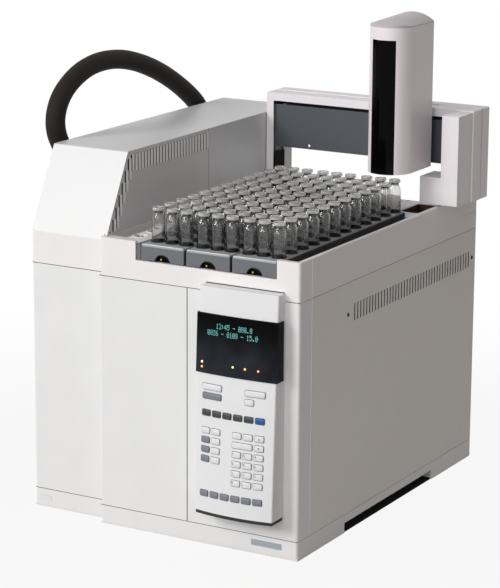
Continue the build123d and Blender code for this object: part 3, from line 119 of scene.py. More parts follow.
def settings():
    """The colours and sizes of the scene."""
    scene = bpy.context.scene
    return scene.sampler_colours, scene.sampler_sizes


# Materials


def add_node(tree, kind, values=None, sockets=None, links=None):
    """Adds a node with its settings, its socket values and its incoming links."""
    made = tree.nodes.new(kind)
    for name, value in (values or {}).items():
        setattr(made, name, value)
    for name, value in (sockets or {}).items():
        made.inputs[name].default_value = value
    for name, source in (links or {}).items():
        tree.links.new(source, made.inputs[name])
    return made


def start(name):
    """New material with its tree and its surface shader."""
    made = bpy.data.materials.new(name)
    made.use_nodes = True
    tree = made.node_tree
    return made, tree, tree.nodes["Principled BSDF"]


def grained(name, colour, roughness, grain_mm, depth_mm, shade=0.94, patch_mm=60.0,
            spread=0.06, metallic=0.0, coat=0.0, ior=1.5, transmission=0.0):
    """Shader with a fine grain in its relief, soft patches in its colour and in its polish."""
    made, tree, shader = start(name)
    place = add_node(tree, "ShaderNodeTexCoord").outputs["Object"]
    grain = add_node(tree, "ShaderNodeTexNoise", {},
                     {"Scale": 1 / (grain_mm * MM), "Detail": 3.0, "Roughness": 0.55},
                     {"Vector": place})
    patch = add_node(tree, "ShaderNodeTexNoise", {},
                     {"Scale": 1 / (patch_mm * MM), "Detail": 2.0}, {"Vector": place})
    bump = add_node(tree, "ShaderNodeBump", {}, {"Strength": 1.0, "Distance": depth_mm * MM},
                    {"Height": grain.outputs["Fac"]})
    tint = add_node(tree, "ShaderNodeMix", {"data_type": "RGBA"},
                    {"A": (*[part * shade for part in colour], 1), "B": (*colour, 1)},
                    {"Factor": patch.outputs["Fac"]})
    polish = add_node(tree, "ShaderNodeMapRange", {},
                      {"To Min": roughness - spread, "To Max": roughness + spread},
                      {"Value": patch.outputs["Fac"]})
    tree.links.new(tint.outputs["Result"], shader.inputs["Base Color"])
    tree.links.new(polish.outputs["Result"], shader.inputs["Roughness"])
    tree.links.new(bump.outputs["Normal"], shader.inputs["Normal"])
    shader.inputs["Metallic"].default_value = metallic
    shader.inputs["Coat Weight"].default_value = coat
    shader.inputs["Transmission Weight"].default_value = transmission
    if not metallic:
        shader.inputs["IOR"].default_value = ior
    return made


def brushed(name, colour, roughness, line_mm, depth_mm, stretch):
    """Metal with fine drawn lines along one axis."""
    made, tree, shader = start(name)
    place = add_node(tree, "ShaderNodeTexCoord").outputs["Object"]
    drawn = add_node(tree, "ShaderNodeMapping", {}, {"Scale": stretch}, {"Vector": place})
    lines = add_node(tree, "ShaderNodeTexNoise", {},
                     {"Scale": 1 / (line_mm * MM), "Detail": 2.0},
                     {"Vector": drawn.outputs["Vector"]})
    bump = add_node(tree, "ShaderNodeBump", {}, {"Strength": 0.6, "Distance": depth_mm * MM},
                    {"Height": lines.outputs["Fac"]})
    polish = add_node(tree, "ShaderNodeMapRange", {},
                      {"To Min": roughness * 0.8, "To Max": roughness * 1.25},
                      {"Value": lines.outputs["Fac"]})
    tree.links.new(polish.outputs["Result"], shader.inputs["Roughness"])
    tree.links.new(bump.outputs["Normal"], shader.inputs["Normal"])
    shader.inputs["Base Color"].default_value = (*colour, 1)
    shader.inputs["Metallic"].default_value = 1.0
    return made


def smoked_acrylic(name):
    """Smoked sheet with slow waves, and only a little light comes through."""
    made, tree, shader = start(name)
    place = add_node(tree, "ShaderNodeTexCoord").outputs["Object"]
    wave = add_node(tree, "ShaderNodeTexNoise", {}, {"Scale": 1 / (70 * MM)},
                    {"Vector": place})
    bump = add_node(tree, "ShaderNodeBump", {}, {"Strength": 0.4, "Distance": 0.05 * MM},
                    {"Height": wave.outputs["Fac"]})
    shader.inputs["Base Color"].default_value = (*linear("#0c0c0e"), 1)
    shader.inputs["Roughness"].default_value = 0.06
    shader.inputs["Transmission Weight"].default_value = 0.8
    # Matched to the object: its window hardly mirrors the room
    shader.inputs["IOR"].default_value = 1.14
    tree.links.new(bump.outputs["Normal"], shader.inputs["Normal"])
    return made


def display_lens(name):
    """Tinted lens that grows paler towards its lower end, as a painted reflection."""
    made, tree, shader = start(name)
    place = add_node(tree, "ShaderNodeTexCoord").outputs["Object"]
    height = add_node(tree, "ShaderNodeSeparateXYZ", {}, {}, {"Vector": place})
    haze = add_node(tree, "ShaderNodeTexNoise", {}, {"Scale": 1 / (45 * MM), "Detail": 1.0},
                    {"Vector": place})
    blend = add_node(tree, "ShaderNodeMapRange", {"interpolation_type": "SMOOTHSTEP"},
                     {"From Min": 400 * MM, "From Max": 325 * MM}, {"Value": height.outputs["Z"]})
    patch = add_node(tree, "ShaderNodeMath", {"operation": "MULTIPLY"}, {1: 1.5},
                     {0: haze.outputs["Fac"]})
    share = add_node(tree, "ShaderNodeMath", {"operation": "MULTIPLY"}, {},
                     {0: blend.outputs["Result"], 1: patch.outputs["Value"]})
    tint = add_node(tree, "ShaderNodeMix", {"data_type": "RGBA"},
                    {"A": (*linear("#050506"), 1), "B": (*linear("#2c2e34"), 1)},
                    {"Factor": share.outputs["Value"]})
    tree.links.new(tint.outputs["Result"], shader.inputs["Base Color"])
    shader.inputs["Roughness"].default_value = 0.2
    shader.inputs["IOR"].default_value = 1.13
    return made


def clear_glass(name, ior, streak, face_shade, edge_shade):
    """Clear glass with lines drawn up its wall and another tint where the wall turns away."""
    made, tree, shader = start(name)
    place = add_node(tree, "ShaderNodeTexCoord").outputs["Object"]
    drawn = add_node(tree, "ShaderNodeMapping", {}, {"Scale": (1, 1, 0.03)}, {"Vector": place})
    wave = add_node(tree, "ShaderNodeTexNoise", {}, {"Scale": 1 / (4 * MM), "Detail": 1.0},
                    {"Vector": drawn.outputs["Vector"]})
    bump = add_node(tree, "ShaderNodeBump", {}, {"Strength": streak, "Distance": 0.1 * MM},
                    {"Height": wave.outputs["Fac"]})
    turn = add_node(tree, "ShaderNodeLayerWeight", {}, {"Blend": 0.5})
    depth = add_node(tree, "ShaderNodeMapRange", {}, {"From Min": 0.55, "From Max": 1.0},
                     {"Value": turn.outputs["Facing"]})
    tint = add_node(tree, "ShaderNodeMix", {"data_type": "RGBA"},
                    {"A": (*face_shade, 1), "B": (*edge_shade, 1)},
                    {"Factor": depth.outputs["Result"]})
    tree.links.new(tint.outputs["Result"], shader.inputs["Base Color"])
    shader.inputs["Roughness"].default_value = 0.0
    shader.inputs["Transmission Weight"].default_value = 1.0
    shader.inputs["IOR"].default_value = ior
    tree.links.new(bump.outputs["Normal"], shader.inputs["Normal"])
    return made


def glowing(name, colour, strength):
    """Lit plastic: a coloured glow behind a glossy skin."""
    made, tree, shader = start(name)
    place = add_node(tree, "ShaderNodeTexCoord").outputs["Object"]
    haze = add_node(tree, "ShaderNodeTexNoise", {}, {"Scale": 1 / (1.5 * MM)},
                    {"Vector": place})
    polish = add_node(tree, "ShaderNodeMapRange", {}, {"To Min": 0.2, "To Max": 0.35},
                      {"Value": haze.outputs["Fac"]})
    tree.links.new(polish.outputs["Result"], shader.inputs["Roughness"])
    shader.inputs["Base Color"].default_value = (*colour, 1)
    shader.inputs["Emission Color"].default_value = (*colour, 1)
    shader.inputs["Emission Strength"].default_value = strength
    return made


# Finishes: the maker above and its values in order, with a colour as a setting's name or a hex
# value. Real grain is mostly finer than half a millimetre and drawn lines are finer than 0.1 mm,
# which wouldn't show in the render, so they are drawn from 0.5 mm up.
FINISHES = {
    # Powder coat on sheet steel: satin, with a faint orange peel
    "powder_coated_steel": (grained, "coat", 0.42, 2.4, 0.03),
    # The same coat in a warm grey on the side sheets: painted warm shade on the sides turned from
    # the lamps
    "powder_coated_steel_warm": (grained, "side", 0.45, 2.4, 0.03),
    # Painted structural foam of the deck: smooth with very soft waves
    "painted_structural_foam": (grained, "moulding", 0.4, 5.0, 0.03),
    # Painted moulding of the hood, a little cooler than the deck
    "painted_hood_moulding": (grained, "hood", 0.38, 4.0, 0.03),
    # Enamel on the louvre blades, drawn paler than the hood: a painted highlight where the pressed
    # edges shine
    "baked_enamel_louvre_blades": (grained, "#f4f4f4", 0.4, 1.2, 0.02),
    # Spark-eroded ABS of the keypad housing: a fine even grain that kills gloss
    "moulded_abs_console": (grained, "console", 0.5, 1.2, 0.04),
    # Paint on the aluminium covers of the gantry: satin
    "painted_gantry_cover": (grained, "gantry", 0.36, 3.0, 0.025),
    # Painted ABS of the tower: smooth with a soft sheen
    "painted_tower_shell": (grained, "tower", 0.34, 4.0, 0.02, {"coat": 0.15}),
    # Painted ABS of the tower's roof, drawn a shade deeper as painted shade where it turns from the
    # lamps
    "painted_tower_roof": (grained, "#c8c1c4", 0.4, 4.0, 0.02),
    # Dark slate paint on the beam's panel: satin with a fine grain
    "slate_painted_panel": (grained, "beam", 0.5, 1.6, 0.03, {"shade": 0.9}),
    # Moulded glass-filled nylon: black, dull, with a dry grain, and painted shade in slots and
    # recesses
    "black_glass_filled_nylon": (grained, "#161617", 0.62, 1.0, 0.05, {"shade": 0.8}),
    # Moulded grey polypropylene of a rack's face: dull and waxy
    "grey_polypropylene": (grained, "rack", 0.5, 1.6, 0.04),
    # Top plate of a rack, drawn paler than its face: painted light and sheen on its upward face
    "worn_polypropylene_rim": (grained, "#a5a7aa", 0.34, 2.0, 0.03),
    # Pale lip and ridge along a rack's front: painted highlights where they catch the light
    "polished_polypropylene_lip": (grained, "#cfd0d2", 0.25, 2.0, 0.02),
    # Charcoal polypropylene of a rack's body and sockets, also painted shade in the sockets and
    # between racks
    "charcoal_polypropylene": (grained, "#1d1e20", 0.55, 1.6, 0.04, {"shade": 0.8}),
    # Dark rings round the vials' feet: painted shade in the sockets, dull, with a slight shine on
    # the edge
    "black_sleeve_rubber": (grained, "#0a0a0b", 0.4, 1.0, 0.02, {"shade": 0.7}),
    # Turned brass of the small catch pins: a warm glint
    "turned_brass": (grained, "#c8b45a", 0.22, 1.0, 0.01, {"metallic": 1.0}),
    # Zinc-plated sheet of the frame and the rear: pale metal with a cloudy spangle
    "zinc_plated_sheet": (grained, "#b9bcbd", 0.4, 14.0, 0.01,
                          {"shade": 0.82, "patch_mm": 9.0, "spread": 0.12, "metallic": 0.9}),
    # Clear anodised aluminium: soft silvery satin
    "clear_anodised_aluminium": (grained, "#c9cacc", 0.38, 0.8, 0.01,
                                 {"shade": 0.93, "metallic": 1.0}),
    # Black anodised aluminium of the bridge and motors: a dark satin sheen
    "black_anodised_aluminium": (grained, "#1c1d1f", 0.4, 0.8, 0.01,
                                 {"shade": 0.85, "metallic": 0.4}),
    # Heat-tinted bronze plate round the oven's mouth: brown, with a dull polish
    "heat_tinted_bronze": (grained, "#7c614c", 0.38, 6.0, 0.02,
                           {"shade": 0.6, "patch_mm": 12.0, "spread": 0.1, "metallic": 0.8}),
    # Black oxide of the screws: dark, with a dull metal sheen
    "black_oxide_steel": (grained, "#1b1a1a", 0.45, 1.0, 0.02, {"metallic": 0.6}),
    # Black sheet behind louvres and slots, in the handholds and the left leg: painted shade in them
    "black_filter_felt": (grained, "#0d0d0d", 0.9, 1.2, 0.1, {"shade": 0.6, "ior": 1.3}),
    # Black rubber of feet, seals and belts, and the painted shadow under the console: dull, with a
    # dusty grain
    "black_moulded_rubber": (grained, "#191919", 0.75, 1.4, 0.05, {"shade": 0.8}),
    # Grey ring round each key: painted shade that draws the key's outline
    "grey_keypad_mat": (grained, "#6b6d72", 0.7, 1.0, 0.02),
    # Screen printing ink of the digits on the keys: a flat dark grey
    "printing_ink": (grained, "#2a2c30", 0.6, 1.0, 0.01),
    # Closed-cell sleeve of the heated hose: brown black, dull, faintly pitted
    "foam_hose_sleeve": (grained, "hose", 0.75, 2.6, 0.22,
                         {"shade": 0.72, "patch_mm": 24.0, "ior": 1.3}),
    # Fire-polished thick rim of a vial: half clear, so the lamps draw pale bands round it
    "fire_polished_rim_glass": (grained, "#f2f1ee", 0.06, 6.0, 0.02, {"transmission": 0.68}),
    # Moulded ABS key caps: satin with a fine grain
    **{"moulded_" + tone: (grained, tone, 0.42, 1.4, 0.03, {"shade": 0.95, "patch_mm": 8.0})
       for tone in ("key_white", "key_grey", "key_dark", "key_blue")},
    # Brushed stainless steel: pale, with lines drawn along its length
    "brushed_stainless_steel": (brushed, "#c6c5c1", 0.28, 0.6, 0.01, (1, 0.04, 1)),
    # Ground and hardened shaft steel: nearly a mirror
    "ground_shaft_steel": (brushed, "#cfcfce", 0.16, 0.5, 0.004, (1, 1, 30)),
    # Satin aluminium of the blank plate: a cool grey with fine lines
    "satin_label_aluminium": (brushed, "#9ba1a5", 0.4, 0.5, 0.005, (0.05, 1, 1)),
    # Drawn borosilicate of the walls: clear, with soft lines that run up it
    "drawn_borosilicate_glass": (clear_glass, 1.45, 0.6, "#ececeb", "#ffffff"),
    # Thick glass of the neck, tinted dark as painted shade: the fold under the rim shows as a dark
    # line
    "necked_borosilicate_glass": (clear_glass, 1.5, 0.0, "#8b8c8a", "#1d1e1d"),
    # Smoked acrylic of the tower's window: near black and glossy
    "smoked_acrylic_window": (smoked_acrylic,),
    # Tinted display lens: black above, and paler below as a painted reflection of the bench
    "tinted_display_lens": (display_lens,),
    # Lit characters, the hot middle of a lamp, and the five lamps: coloured and glossy
    "display_glow": (glowing, "digits", 1.5),
    "lamp_core_glow": (glowing, "#fff2d8", 1.0),
    "idle_lamp_glow": (glowing, "#f2f2ec", 1.2),
    "heat_lamp_glow": (glowing, "#f08a28", 1.2),
    "run_lamp_glow": (glowing, "#a6d23c", 1.2),
    "wait_lamp_glow": (glowing, "#f59a2c", 1.2),
    "alert_lamp_glow": (glowing, "#f06a20", 1.2),
}


def finish(name):
    """Makes a finish once and hands out the same one afterwards."""
    if name in bpy.data.materials:
        return bpy.data.materials[name]
    maker, *values = FINISHES[name]
    extra = values.pop() if values and isinstance(values[-1], dict) else {}
    for place, value in enumerate(values):
        if isinstance(value, str):
            values[place] = linear(value) if value[0] == "#" else getattr(settings()[0], value)
    return maker(name, *values, **extra)


# Meshes


def soften(piece, width, segments=2, angle=40, harden=False):
    """Rounds the sharp edges of a piece."""
    bevel = piece.modifiers.new("softened_edges", "BEVEL")
    bevel.width = width
    bevel.segments = segments
    bevel.limit_method = "ANGLE"
    bevel.angle_limit = math.radians(angle)
    bevel.harden_normals = harden
    bevel.use_clamp_overlap = True


def dress(material, edge, *names, segments=2):
    """Gives CAD nodes a finish and rounds their edges, unless the edge is zero."""
    material = finish(material)
    for name in names:
        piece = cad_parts[name]
        if not piece.material_slots:
            piece.data.materials.append(material)
        for slot in piece.material_slots:
            slot.material = material
        if edge:
            soften(piece, edge, segments, angle=50, harden=True)


def dress_all(table):
    """Dresses nodes from rows of a finish, a share of the edge radius and their names."""
    for material, share, names in table:
        dress(material, settings()[1].edge * share, *names)


def finish_bmesh(work, name):
    """Mesh from a bmesh with its faces turned outwards."""
    bmesh.ops.recalc_face_normals(work, faces=work.faces)
    mesh = bpy.data.meshes.new(name)
    work.to_mesh(mesh)
    work.free()
    return mesh


def new_piece(name, form, material, body, stands_for=(), smooth_angle=40):
    """Piece from a mesh or a bmesh, with a finish, riding on a body."""
    mesh = finish_bmesh(form, name) if isinstance(form, bmesh.types.BMesh) else form
    mesh.materials.clear()
    mesh.materials.append(finish(material))
    piece = bpy.data.objects.new(name, mesh)
    bpy.context.scene.collection.objects.link(piece)
    mesh.polygons.foreach_set("use_smooth", [True] * len(mesh.polygons))
    mesh.set_sharp_from_angle(angle=math.radians(smooth_angle))
    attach(piece, body)
    if stands_for:
        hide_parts(*stands_for)
    return piece


def bridge(work, rings, closed=True):
    """Skins between rings of vertices, and closes the first and the last."""
    for low, high in zip(rings, rings[1:]):
        for place in range(len(low)):
            after = (place + 1) % len(low)
            # A ring may be one vertex many times over: the face is then a triangle
            corners = dict.fromkeys((low[place], low[after], high[after], high[place]))
            if len(corners) > 2:
                work.faces.new(list(corners))
    if closed:
        work.faces.new(rings[0])
        work.faces.new(rings[-1])


def turned(work, places, profile, sides, tilt=Matrix.Identity(3)):
    """Turned form about each place, from radii and heights in millimetres."""
    turns = [2 * math.pi * step / sides for step in range(sides)]
    for place in places:
        rings = []
        for radius, height in profile:
            if radius == 0:
                tip = tilt @ Vector((0, 0, height * MM)) + place
                rings.append([work.verts.new(tip)] * sides)
                continue
            spots = [Vector((radius * math.cos(turn), radius * math.sin(turn), height))
                     for turn in turns]
            rings.append([work.verts.new(tilt @ (spot * MM) + place) for spot in spots])
        bridge(work, rings, closed=False)


def rounded_outline(width, height, radius, steps=4):
    """Rounded rectangle about its middle, in millimetres."""
    points = []
    for corner_x, corner_y, first in ((1, 1, 0), (-1, 1, 90), (-1, -1, 180), (1, -1, 270)):
        for step in range(steps + 1):
            turn = math.radians(first + 90 * step / steps)
            points.append((corner_x * (width / 2 - radius) + radius * math.cos(turn),
                           corner_y * (height / 2 - radius) + radius * math.sin(turn)))
    return points


def pillow(work, place, along, above, outward, width, height, radius, levels):
    """Rounded block with its edges drawn in level by level: (rise, inset) pairs."""
    rings = []
    for rise, inset in levels:
        corner = max(radius - inset, 0.05)
        rings.append([
            work.verts.new(place + along * (x * MM) + above * (y * MM) + outward * (rise * MM))
            for x, y in rounded_outline(width - 2 * inset, height - 2 * inset, corner)])
    bridge(work, rings)


def block(work, low, high):
    """Block between two corners, each in millimetres."""
    low, high = at(*low), at(*high)
    corners = [work.verts.new((x, y, z)) for x in (low.x, high.x) for y in (low.y, high.y)
               for z in (low.z, high.z)]
    for face in ((0, 1, 3, 2), (4, 6, 7, 5), (0, 4, 5, 1), (2, 3, 7, 6), (0, 2, 6, 4),
                 (1, 5, 7, 3)):
        work.faces.new([corners[place] for place in face])


def blocks(*pairs):
    """Bmesh of blocks, each between a pair of corners."""
    work = bmesh.new()
    for low, high in pairs:
        block(work, low, high)
    return work


def prism(work, outline, low, high):
    """Upright prism on an outline of x and y, in millimetres."""
    bridge(work, [[work.verts.new(at(x, y, z)) for x, y in outline] for z in (low, high)])


def pierced_plate(name, outline, holes, thickness, bevel=0.0):
    """Mesh of a flat plate with round holes, from the curve that outlines it."""
    curve = bpy.data.curves.new(name, "CURVE")
    curve.dimensions = "2D"
    curve.fill_mode = "BOTH"
    curve.extrude = thickness / 2
    curve.bevel_depth = bevel
    curve.offset = -bevel
    loops = [outline]
    for x, y, radius, sides in holes:
        loops.append([(x + radius * math.cos(2 * math.pi * step / sides),
                       y + radius * math.sin(2 * math.pi * step / sides))
                      for step in range(sides)])
    for loop in loops:
        spline = curve.splines.new("POLY")
        spline.points.add(len(loop) - 1)
        for point, (x, y) in zip(spline.points, loop):
            point.co = (x * MM, y * MM, 0, 1)
        spline.use_cyclic_u = True
    holder = bpy.data.objects.new(name, curve)
    mesh = bpy.data.meshes.new_from_object(holder)
    bpy.data.objects.remove(holder)
    bpy.data.curves.remove(curve)
    return mesh


def stand_up(mesh, x, y):
    """Stands a flat plate upright, facing the front, with its middle at a depth."""
    mesh.transform(Matrix.Translation(at(x, y, 0)) @ Matrix.Rotation(math.radians(90), 4, "X"))
    return mesh


# Stage

# The camera, solved from the photograph: degrees, millimetres, and pixels of its height
CAMERA_ANGLES = (29.74, 13.87, 0.34)
CAMERA_PLACE = (1804, -3320, 1387)
FOCAL_PIXELS, PHOTO_HEIGHT, SENSOR = 2430, 588, 36.0
# Lamps: name, place and aim in millimetres, size in metres, watts and colour
STUDIO_LAMPS = (
    ("key_lamp", (-3500, -5300, 3500), (-268, 200, 330), 3.0, 300, "#ffffff"),
    ("front_lamp", (900, -6400, 2400), (-268, 100, 300), 3.4, 140, "#ffffff"),
    ("top_lamp", (900, -300, 5300), (-268, 300, 450), 3.0, 20, "#ffffff"),
    ("side_lamp", (3600, 900, 1300), (0, 330, 400), 1.6, 2.4, "#ffb080"),
)
SURROUND_STRENGTH = 0.195
FLOOR_REACH = 4.0
# The floor shows white from here outwards, and keeps its shade under the cabinet, in metres
WHITE_FROM, WHITE_FULL, WHITE_NEAR = 0.5, 1.5, 0.91
SHADE_MIDDLE, SHADE_HALF_X, SHADE_HALF_Y = (0.005, 0.035, 0), 0.266, 0.322


def plainly_seen(tree):
    """Share of rays that see the surround itself: from the camera, in gloss or through glass."""
    path = add_node(tree, "ShaderNodeLightPath")
    seen = add_node(tree, "ShaderNodeMath", {"operation": "MAXIMUM"}, {},
                    {0: path.outputs["Is Camera Ray"], 1: path.outputs["Is Transmission Ray"]})
    return add_node(tree, "ShaderNodeMath", {"operation": "MAXIMUM"}, {},
                    {0: seen.outputs[0], 1: path.outputs["Is Glossy Ray"]}).outputs[0]


def studio_floor():
    """Pale paper that shows white far away and keeps the shadow near the object."""
    made, tree, shader = start("studio_floor")
    shader.inputs["Base Color"].default_value = (*linear("#9f9a97"), 1)
    shader.inputs["Roughness"].default_value = 0.9
    place = add_node(tree, "ShaderNodeTexCoord").outputs["Object"]
    reach = add_node(tree, "ShaderNodeVectorMath", {"operation": "LENGTH"}, {}, {0: place})
    fade = add_node(tree, "ShaderNodeMapRange", {"interpolation_type": "SMOOTHSTEP"},
                    {"From Min": WHITE_FROM, "From Max": WHITE_FULL, "To Min": WHITE_NEAR},
                    {"Value": reach.outputs["Value"]})
    under = add_node(tree, "ShaderNodeVectorMath", {"operation": "SUBTRACT"},
                     {1: SHADE_MIDDLE}, {0: place})
    under = add_node(tree, "ShaderNodeVectorMath", {"operation": "ABSOLUTE"}, {},
                     {0: under.outputs["Vector"]})
    sides = add_node(tree, "ShaderNodeSeparateXYZ", {}, {}, {"Vector": under.outputs["Vector"]})
    out_x, out_y = (add_node(tree, "ShaderNodeMath", {"operation": "GREATER_THAN"}, {1: half},
                             {0: sides.outputs[axis]}).outputs[0]
                    for axis, half in (("X", SHADE_HALF_X), ("Y", SHADE_HALF_Y)))
    outside = add_node(tree, "ShaderNodeMath", {"operation": "MAXIMUM"}, {}, {0: out_x, 1: out_y})
    share = add_node(tree, "ShaderNodeMath", {"operation": "MULTIPLY"}, {},
                     {0: plainly_seen(tree), 1: fade.outputs["Result"]})
    share = add_node(tree, "ShaderNodeMath", {"operation": "MULTIPLY"}, {},
                     {0: share.outputs[0], 1: outside.outputs[0]})
    white = add_node(tree, "ShaderNodeEmission", {}, {"Color": (1, 1, 1, 1), "Strength": 1.0})
    mix = add_node(tree, "ShaderNodeMixShader", {}, {},
                   {0: share.outputs[0], 1: shader.outputs[0], 2: white.outputs[0]})
    tree.links.new(mix.outputs[0], tree.nodes["Material Output"].inputs["Surface"])
    return made


def photograph_camera():
    """Camera at the photograph's viewing angle."""
    camera = bpy.data.cameras.new("photograph_camera")
    camera.sensor_width = SENSOR
    camera.lens = SENSOR * FOCAL_PIXELS / PHOTO_HEIGHT
    camera.clip_end = 50
    turn, dip, roll = (math.radians(angle) for angle in CAMERA_ANGLES)
    ahead = Vector((-math.sin(turn) * math.cos(dip), math.cos(turn) * math.cos(dip),
                    -math.sin(dip)))
    across = Vector((math.cos(turn), math.sin(turn), 0))
    up = across.cross(ahead)
    right = across * math.cos(roll) + up * math.sin(roll)
    above = up * math.cos(roll) - across * math.sin(roll)
    spin = Matrix((right, above, -ahead)).transposed().to_4x4()
    holder = bpy.data.objects.new("photograph_camera", camera)
    holder.matrix_world = Matrix.Translation(at(*CAMERA_PLACE)) @ spin
    return holder


def studio_surround():
    """World that lights softly, and shows white where it is seen itself."""
    world = bpy.data.worlds.new("studio_surround")
    world.use_nodes = True
    tree = world.node_tree
    tree.nodes.clear()
    soft = add_node(tree, "ShaderNodeBackground", {},
                    {"Color": (1.0, 0.99, 0.99, 1), "Strength": SURROUND_STRENGTH})
    white = add_node(tree, "ShaderNodeBackground", {}, {"Color": (1, 1, 1, 1), "Strength": 1.0})
    mix = add_node(tree, "ShaderNodeMixShader", {}, {},
                   {0: plainly_seen(tree), 1: soft.outputs[0], 2: white.outputs[0]})
    add_node(tree, "ShaderNodeOutputWorld", {}, {}, {"Surface": mix.outputs[0]})
    return world


class AUTOSAMPLER_OT_stage(bpy.types.Operator):
    """Sets the camera, the floor, the lamps and the white surround"""
    bl_idname = "autosampler.stage"
    bl_label = "Stage"

    def execute(self, context):
        scene = context.scene
        scene.view_settings.view_transform = "Standard"
        scene.camera = photograph_camera()
        scene.collection.objects.link(scene.camera)
        scene.world = studio_surround()

        work = bmesh.new()
        bmesh.ops.create_grid(work, x_segments=8, y_segments=8, size=FLOOR_REACH)
        floor_mesh = finish_bmesh(work, "studio_floor")
        floor_mesh.materials.append(studio_floor())
        floor = bpy.data.objects.new("studio_floor", floor_mesh)
        scene.collection.objects.link(floor)

        for name, place, aim, size, watts, code in STUDIO_LAMPS:
            light = bpy.data.lights.new(name, "AREA")
            light.shape = "SQUARE"
            light.size = size
            light.energy = watts
            light.color = linear(code)
            lamp = bpy.data.objects.new(name, light)
            scene.collection.objects.link(lamp)
            lamp.location = at(*place)
            lamp.rotation_euler = (at(*aim) - at(*place)).to_track_quat("-Z", "Y").to_euler()
        return {"FINISHED"}


# Hose

HOSE_X = -562
HOSE_DIAMETER = 34.8 * MM
HOSE_ROUTE = (
    (188.0, 584.5), (150.0, 616.0), (130.5, 662.0), (151.0, 707.0), (206.0, 738.5),
    (270.0, 751.5), (346.0, 748.0), (426.0, 727.5), (507.0, 694.5), (588.0, 648.5),
    (632.0, 611.0), (652.0, 566.0),
)


class AUTOSAMPLER_OT_hose(bpy.types.Operator):
    """Lays the transfer hose from the hood's gland over to its parking clip"""
    bl_idname = "autosampler.hose"
    bl_label = "Transfer hose"

    def execute(self, context):
        curve = bpy.data.curves.new("transfer_hose_sleeve", "CURVE")
        curve.dimensions = "3D"
        curve.bevel_depth = HOSE_DIAMETER / 2
        curve.bevel_resolution = 8
        curve.use_fill_caps = True
        spline = curve.splines.new("NURBS")
        spline.points.add(len(HOSE_ROUTE) - 1)
        for point, (y, z) in zip(spline.points, HOSE_ROUTE):
            point.co = (*at(HOSE_X, y, z), 1)
        spline.use_endpoint_u = True
        spline.order_u = 3
        spline.resolution_u = 10
        piece = bpy.data.objects.new("transfer_hose_sleeve", curve)
        context.scene.collection.objects.link(piece)
        curve.materials.append(finish("foam_hose_sleeve"))
        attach(piece, "cabinet")
        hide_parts("transfer_hose")
        dress("brushed_stainless_steel", 0.8 * MM, "hose_fitting")
        dress("black_glass_filled_nylon", 0.8 * MM, "hose_holders")
        return {"FINISHED"}


# Cabinet

CABINET_NODES = (
    ("powder_coated_steel", 1,
     ("left_front_panel", "middle_front_panel", "right_front_panel", "base_pan")),
    ("powder_coated_steel_warm", 0, ("right_side_panel", "left_side_panel")),
    ("zinc_plated_sheet", 0, ("rear_panel", "chassis_frame")),
    ("black_moulded_rubber", 1, ("levelling_feet",)),
    ("black_glass_filled_nylon", 1 / 2, ("power_inlet",)),
    ("moulded_abs_console", 1 / 2, ("power_key",)),
    ("black_glass_filled_nylon", 0, ("fan_frame", "fan_rotor", "rack_tray")),
    ("painted_structural_foam", 0, ("upper_body",)),
    ("ground_shaft_steel", 1 / 2, ("leg_rails",)),
    ("moulded_abs_console", 1 / 4, ("priority_cups",)),
    ("heat_tinted_bronze", 0, ("oven_block",)),
)
SCREW_RADIUS = 3.6
# Screws on each side, as depth and height, and on the rear, as width and height
SIDE_SCREWS = ((167.6, 383.6), (657, 385.1))
REAR_SCREWS = [(x, z) for x in (-520, -268, -16) for z in (48, 425)]
# The bare plate on the base: its middle, width and height
PLATE_MIDDLE, PLATE_WIDTH, PLATE_HEIGHT = (-59, 0, 20), 58, 10.5
# The skirt that closes the base down to the bench
SKIRT_THICK, SKIRT_LOW, SKIRT_HIGH = 1.6, 0.3, 3.2
# Handholds in the base pan's sides, from front to rear, and the dark sheets of painted shade in
# them: floor, then side
HANDHOLD = (166.0, 507.0)
HANDHOLD_SHADE_SHEETS = ((-17.9, -2, 0.3, 0.8), (-534, -518.1, 0.3, 0.8),
           (-17.9, -17.4, 0.8, 17.8), (-518.6, -518.1, 0.8, 17.8))
# Slots in the right side panel, and how deep the dark sheet of painted shade stands behind its face
SLOT_COUNT, SLOT_FIRST, SLOT_PITCH, SLOT_HALF = 42, 192.1, 11.0, 2.05
SLOT_HEIGHTS = (369.1, 398.9)
SHADE_SHEET_REAR, SHADE_SHEET_FACE = -2.9, -0.4
# Corners of each dark seam: under the front panels, over them, along the sides and between two
SEAMS = (
    ((-384.6, -0.07, 33.0), (-0.9, 0.7, 34.0)),
    ((-535.1, STEP_Y - 0.07, 33.0), (-385.2, STEP_Y + 0.7, 34.0)),
    ((-384.6, -0.07, 438.1), (-0.9, 0.7, 439.2)),
    ((-535.1, STEP_Y - 0.07, 438.1), (-385.2, STEP_Y + 0.7, 439.2)),
    ((-2.9, 42, 438.1), (-0.1, 671, 439.1)),
    ((-535.9, 42, 438.1), (-533.1, 671, 439.1)),
    ((-212.8, -0.07, 34), (-211.2, 0.7, 438)),
)
# The thin edge of the front's bezel, where the side panel starts
BEZEL_EDGE = ((-2.9, 40.2, 34), (0.7, 41.0, 504.8))


def screw_heads(name, places, outward):
    """Pan-head screws with a cross recess, set on the cabinet's face."""
    along = Y_WAY if abs(outward.x) > 0.5 else X_WAY
    above = outward.cross(along)
    radius = SCREW_RADIUS
    heads = bmesh.new()
    turned(heads, places, ((radius, -0.4), (radius, 0.5), (radius * 0.86, 1.2),
                           (radius * 0.6, 1.5), (0, 1.6)), 16,
           Matrix((along, above, outward)).transposed())
    new_piece(name, heads, "black_oxide_steel", "cabinet")
    # The cross recess is a raised dark cross: painted shade in the recess
    cross = bmesh.new()
    for place in places:
        for width, height in ((radius * 1.1, radius * 0.26), (radius * 0.26, radius * 1.1)):
            pillow(cross, place + outward * (1.45 * MM), along, above, outward, width, height,
                   radius * 0.08, ((0, 0), (0.22, 0)))
    new_piece(name + "_recess", cross, "black_glass_filled_nylon", "cabinet")


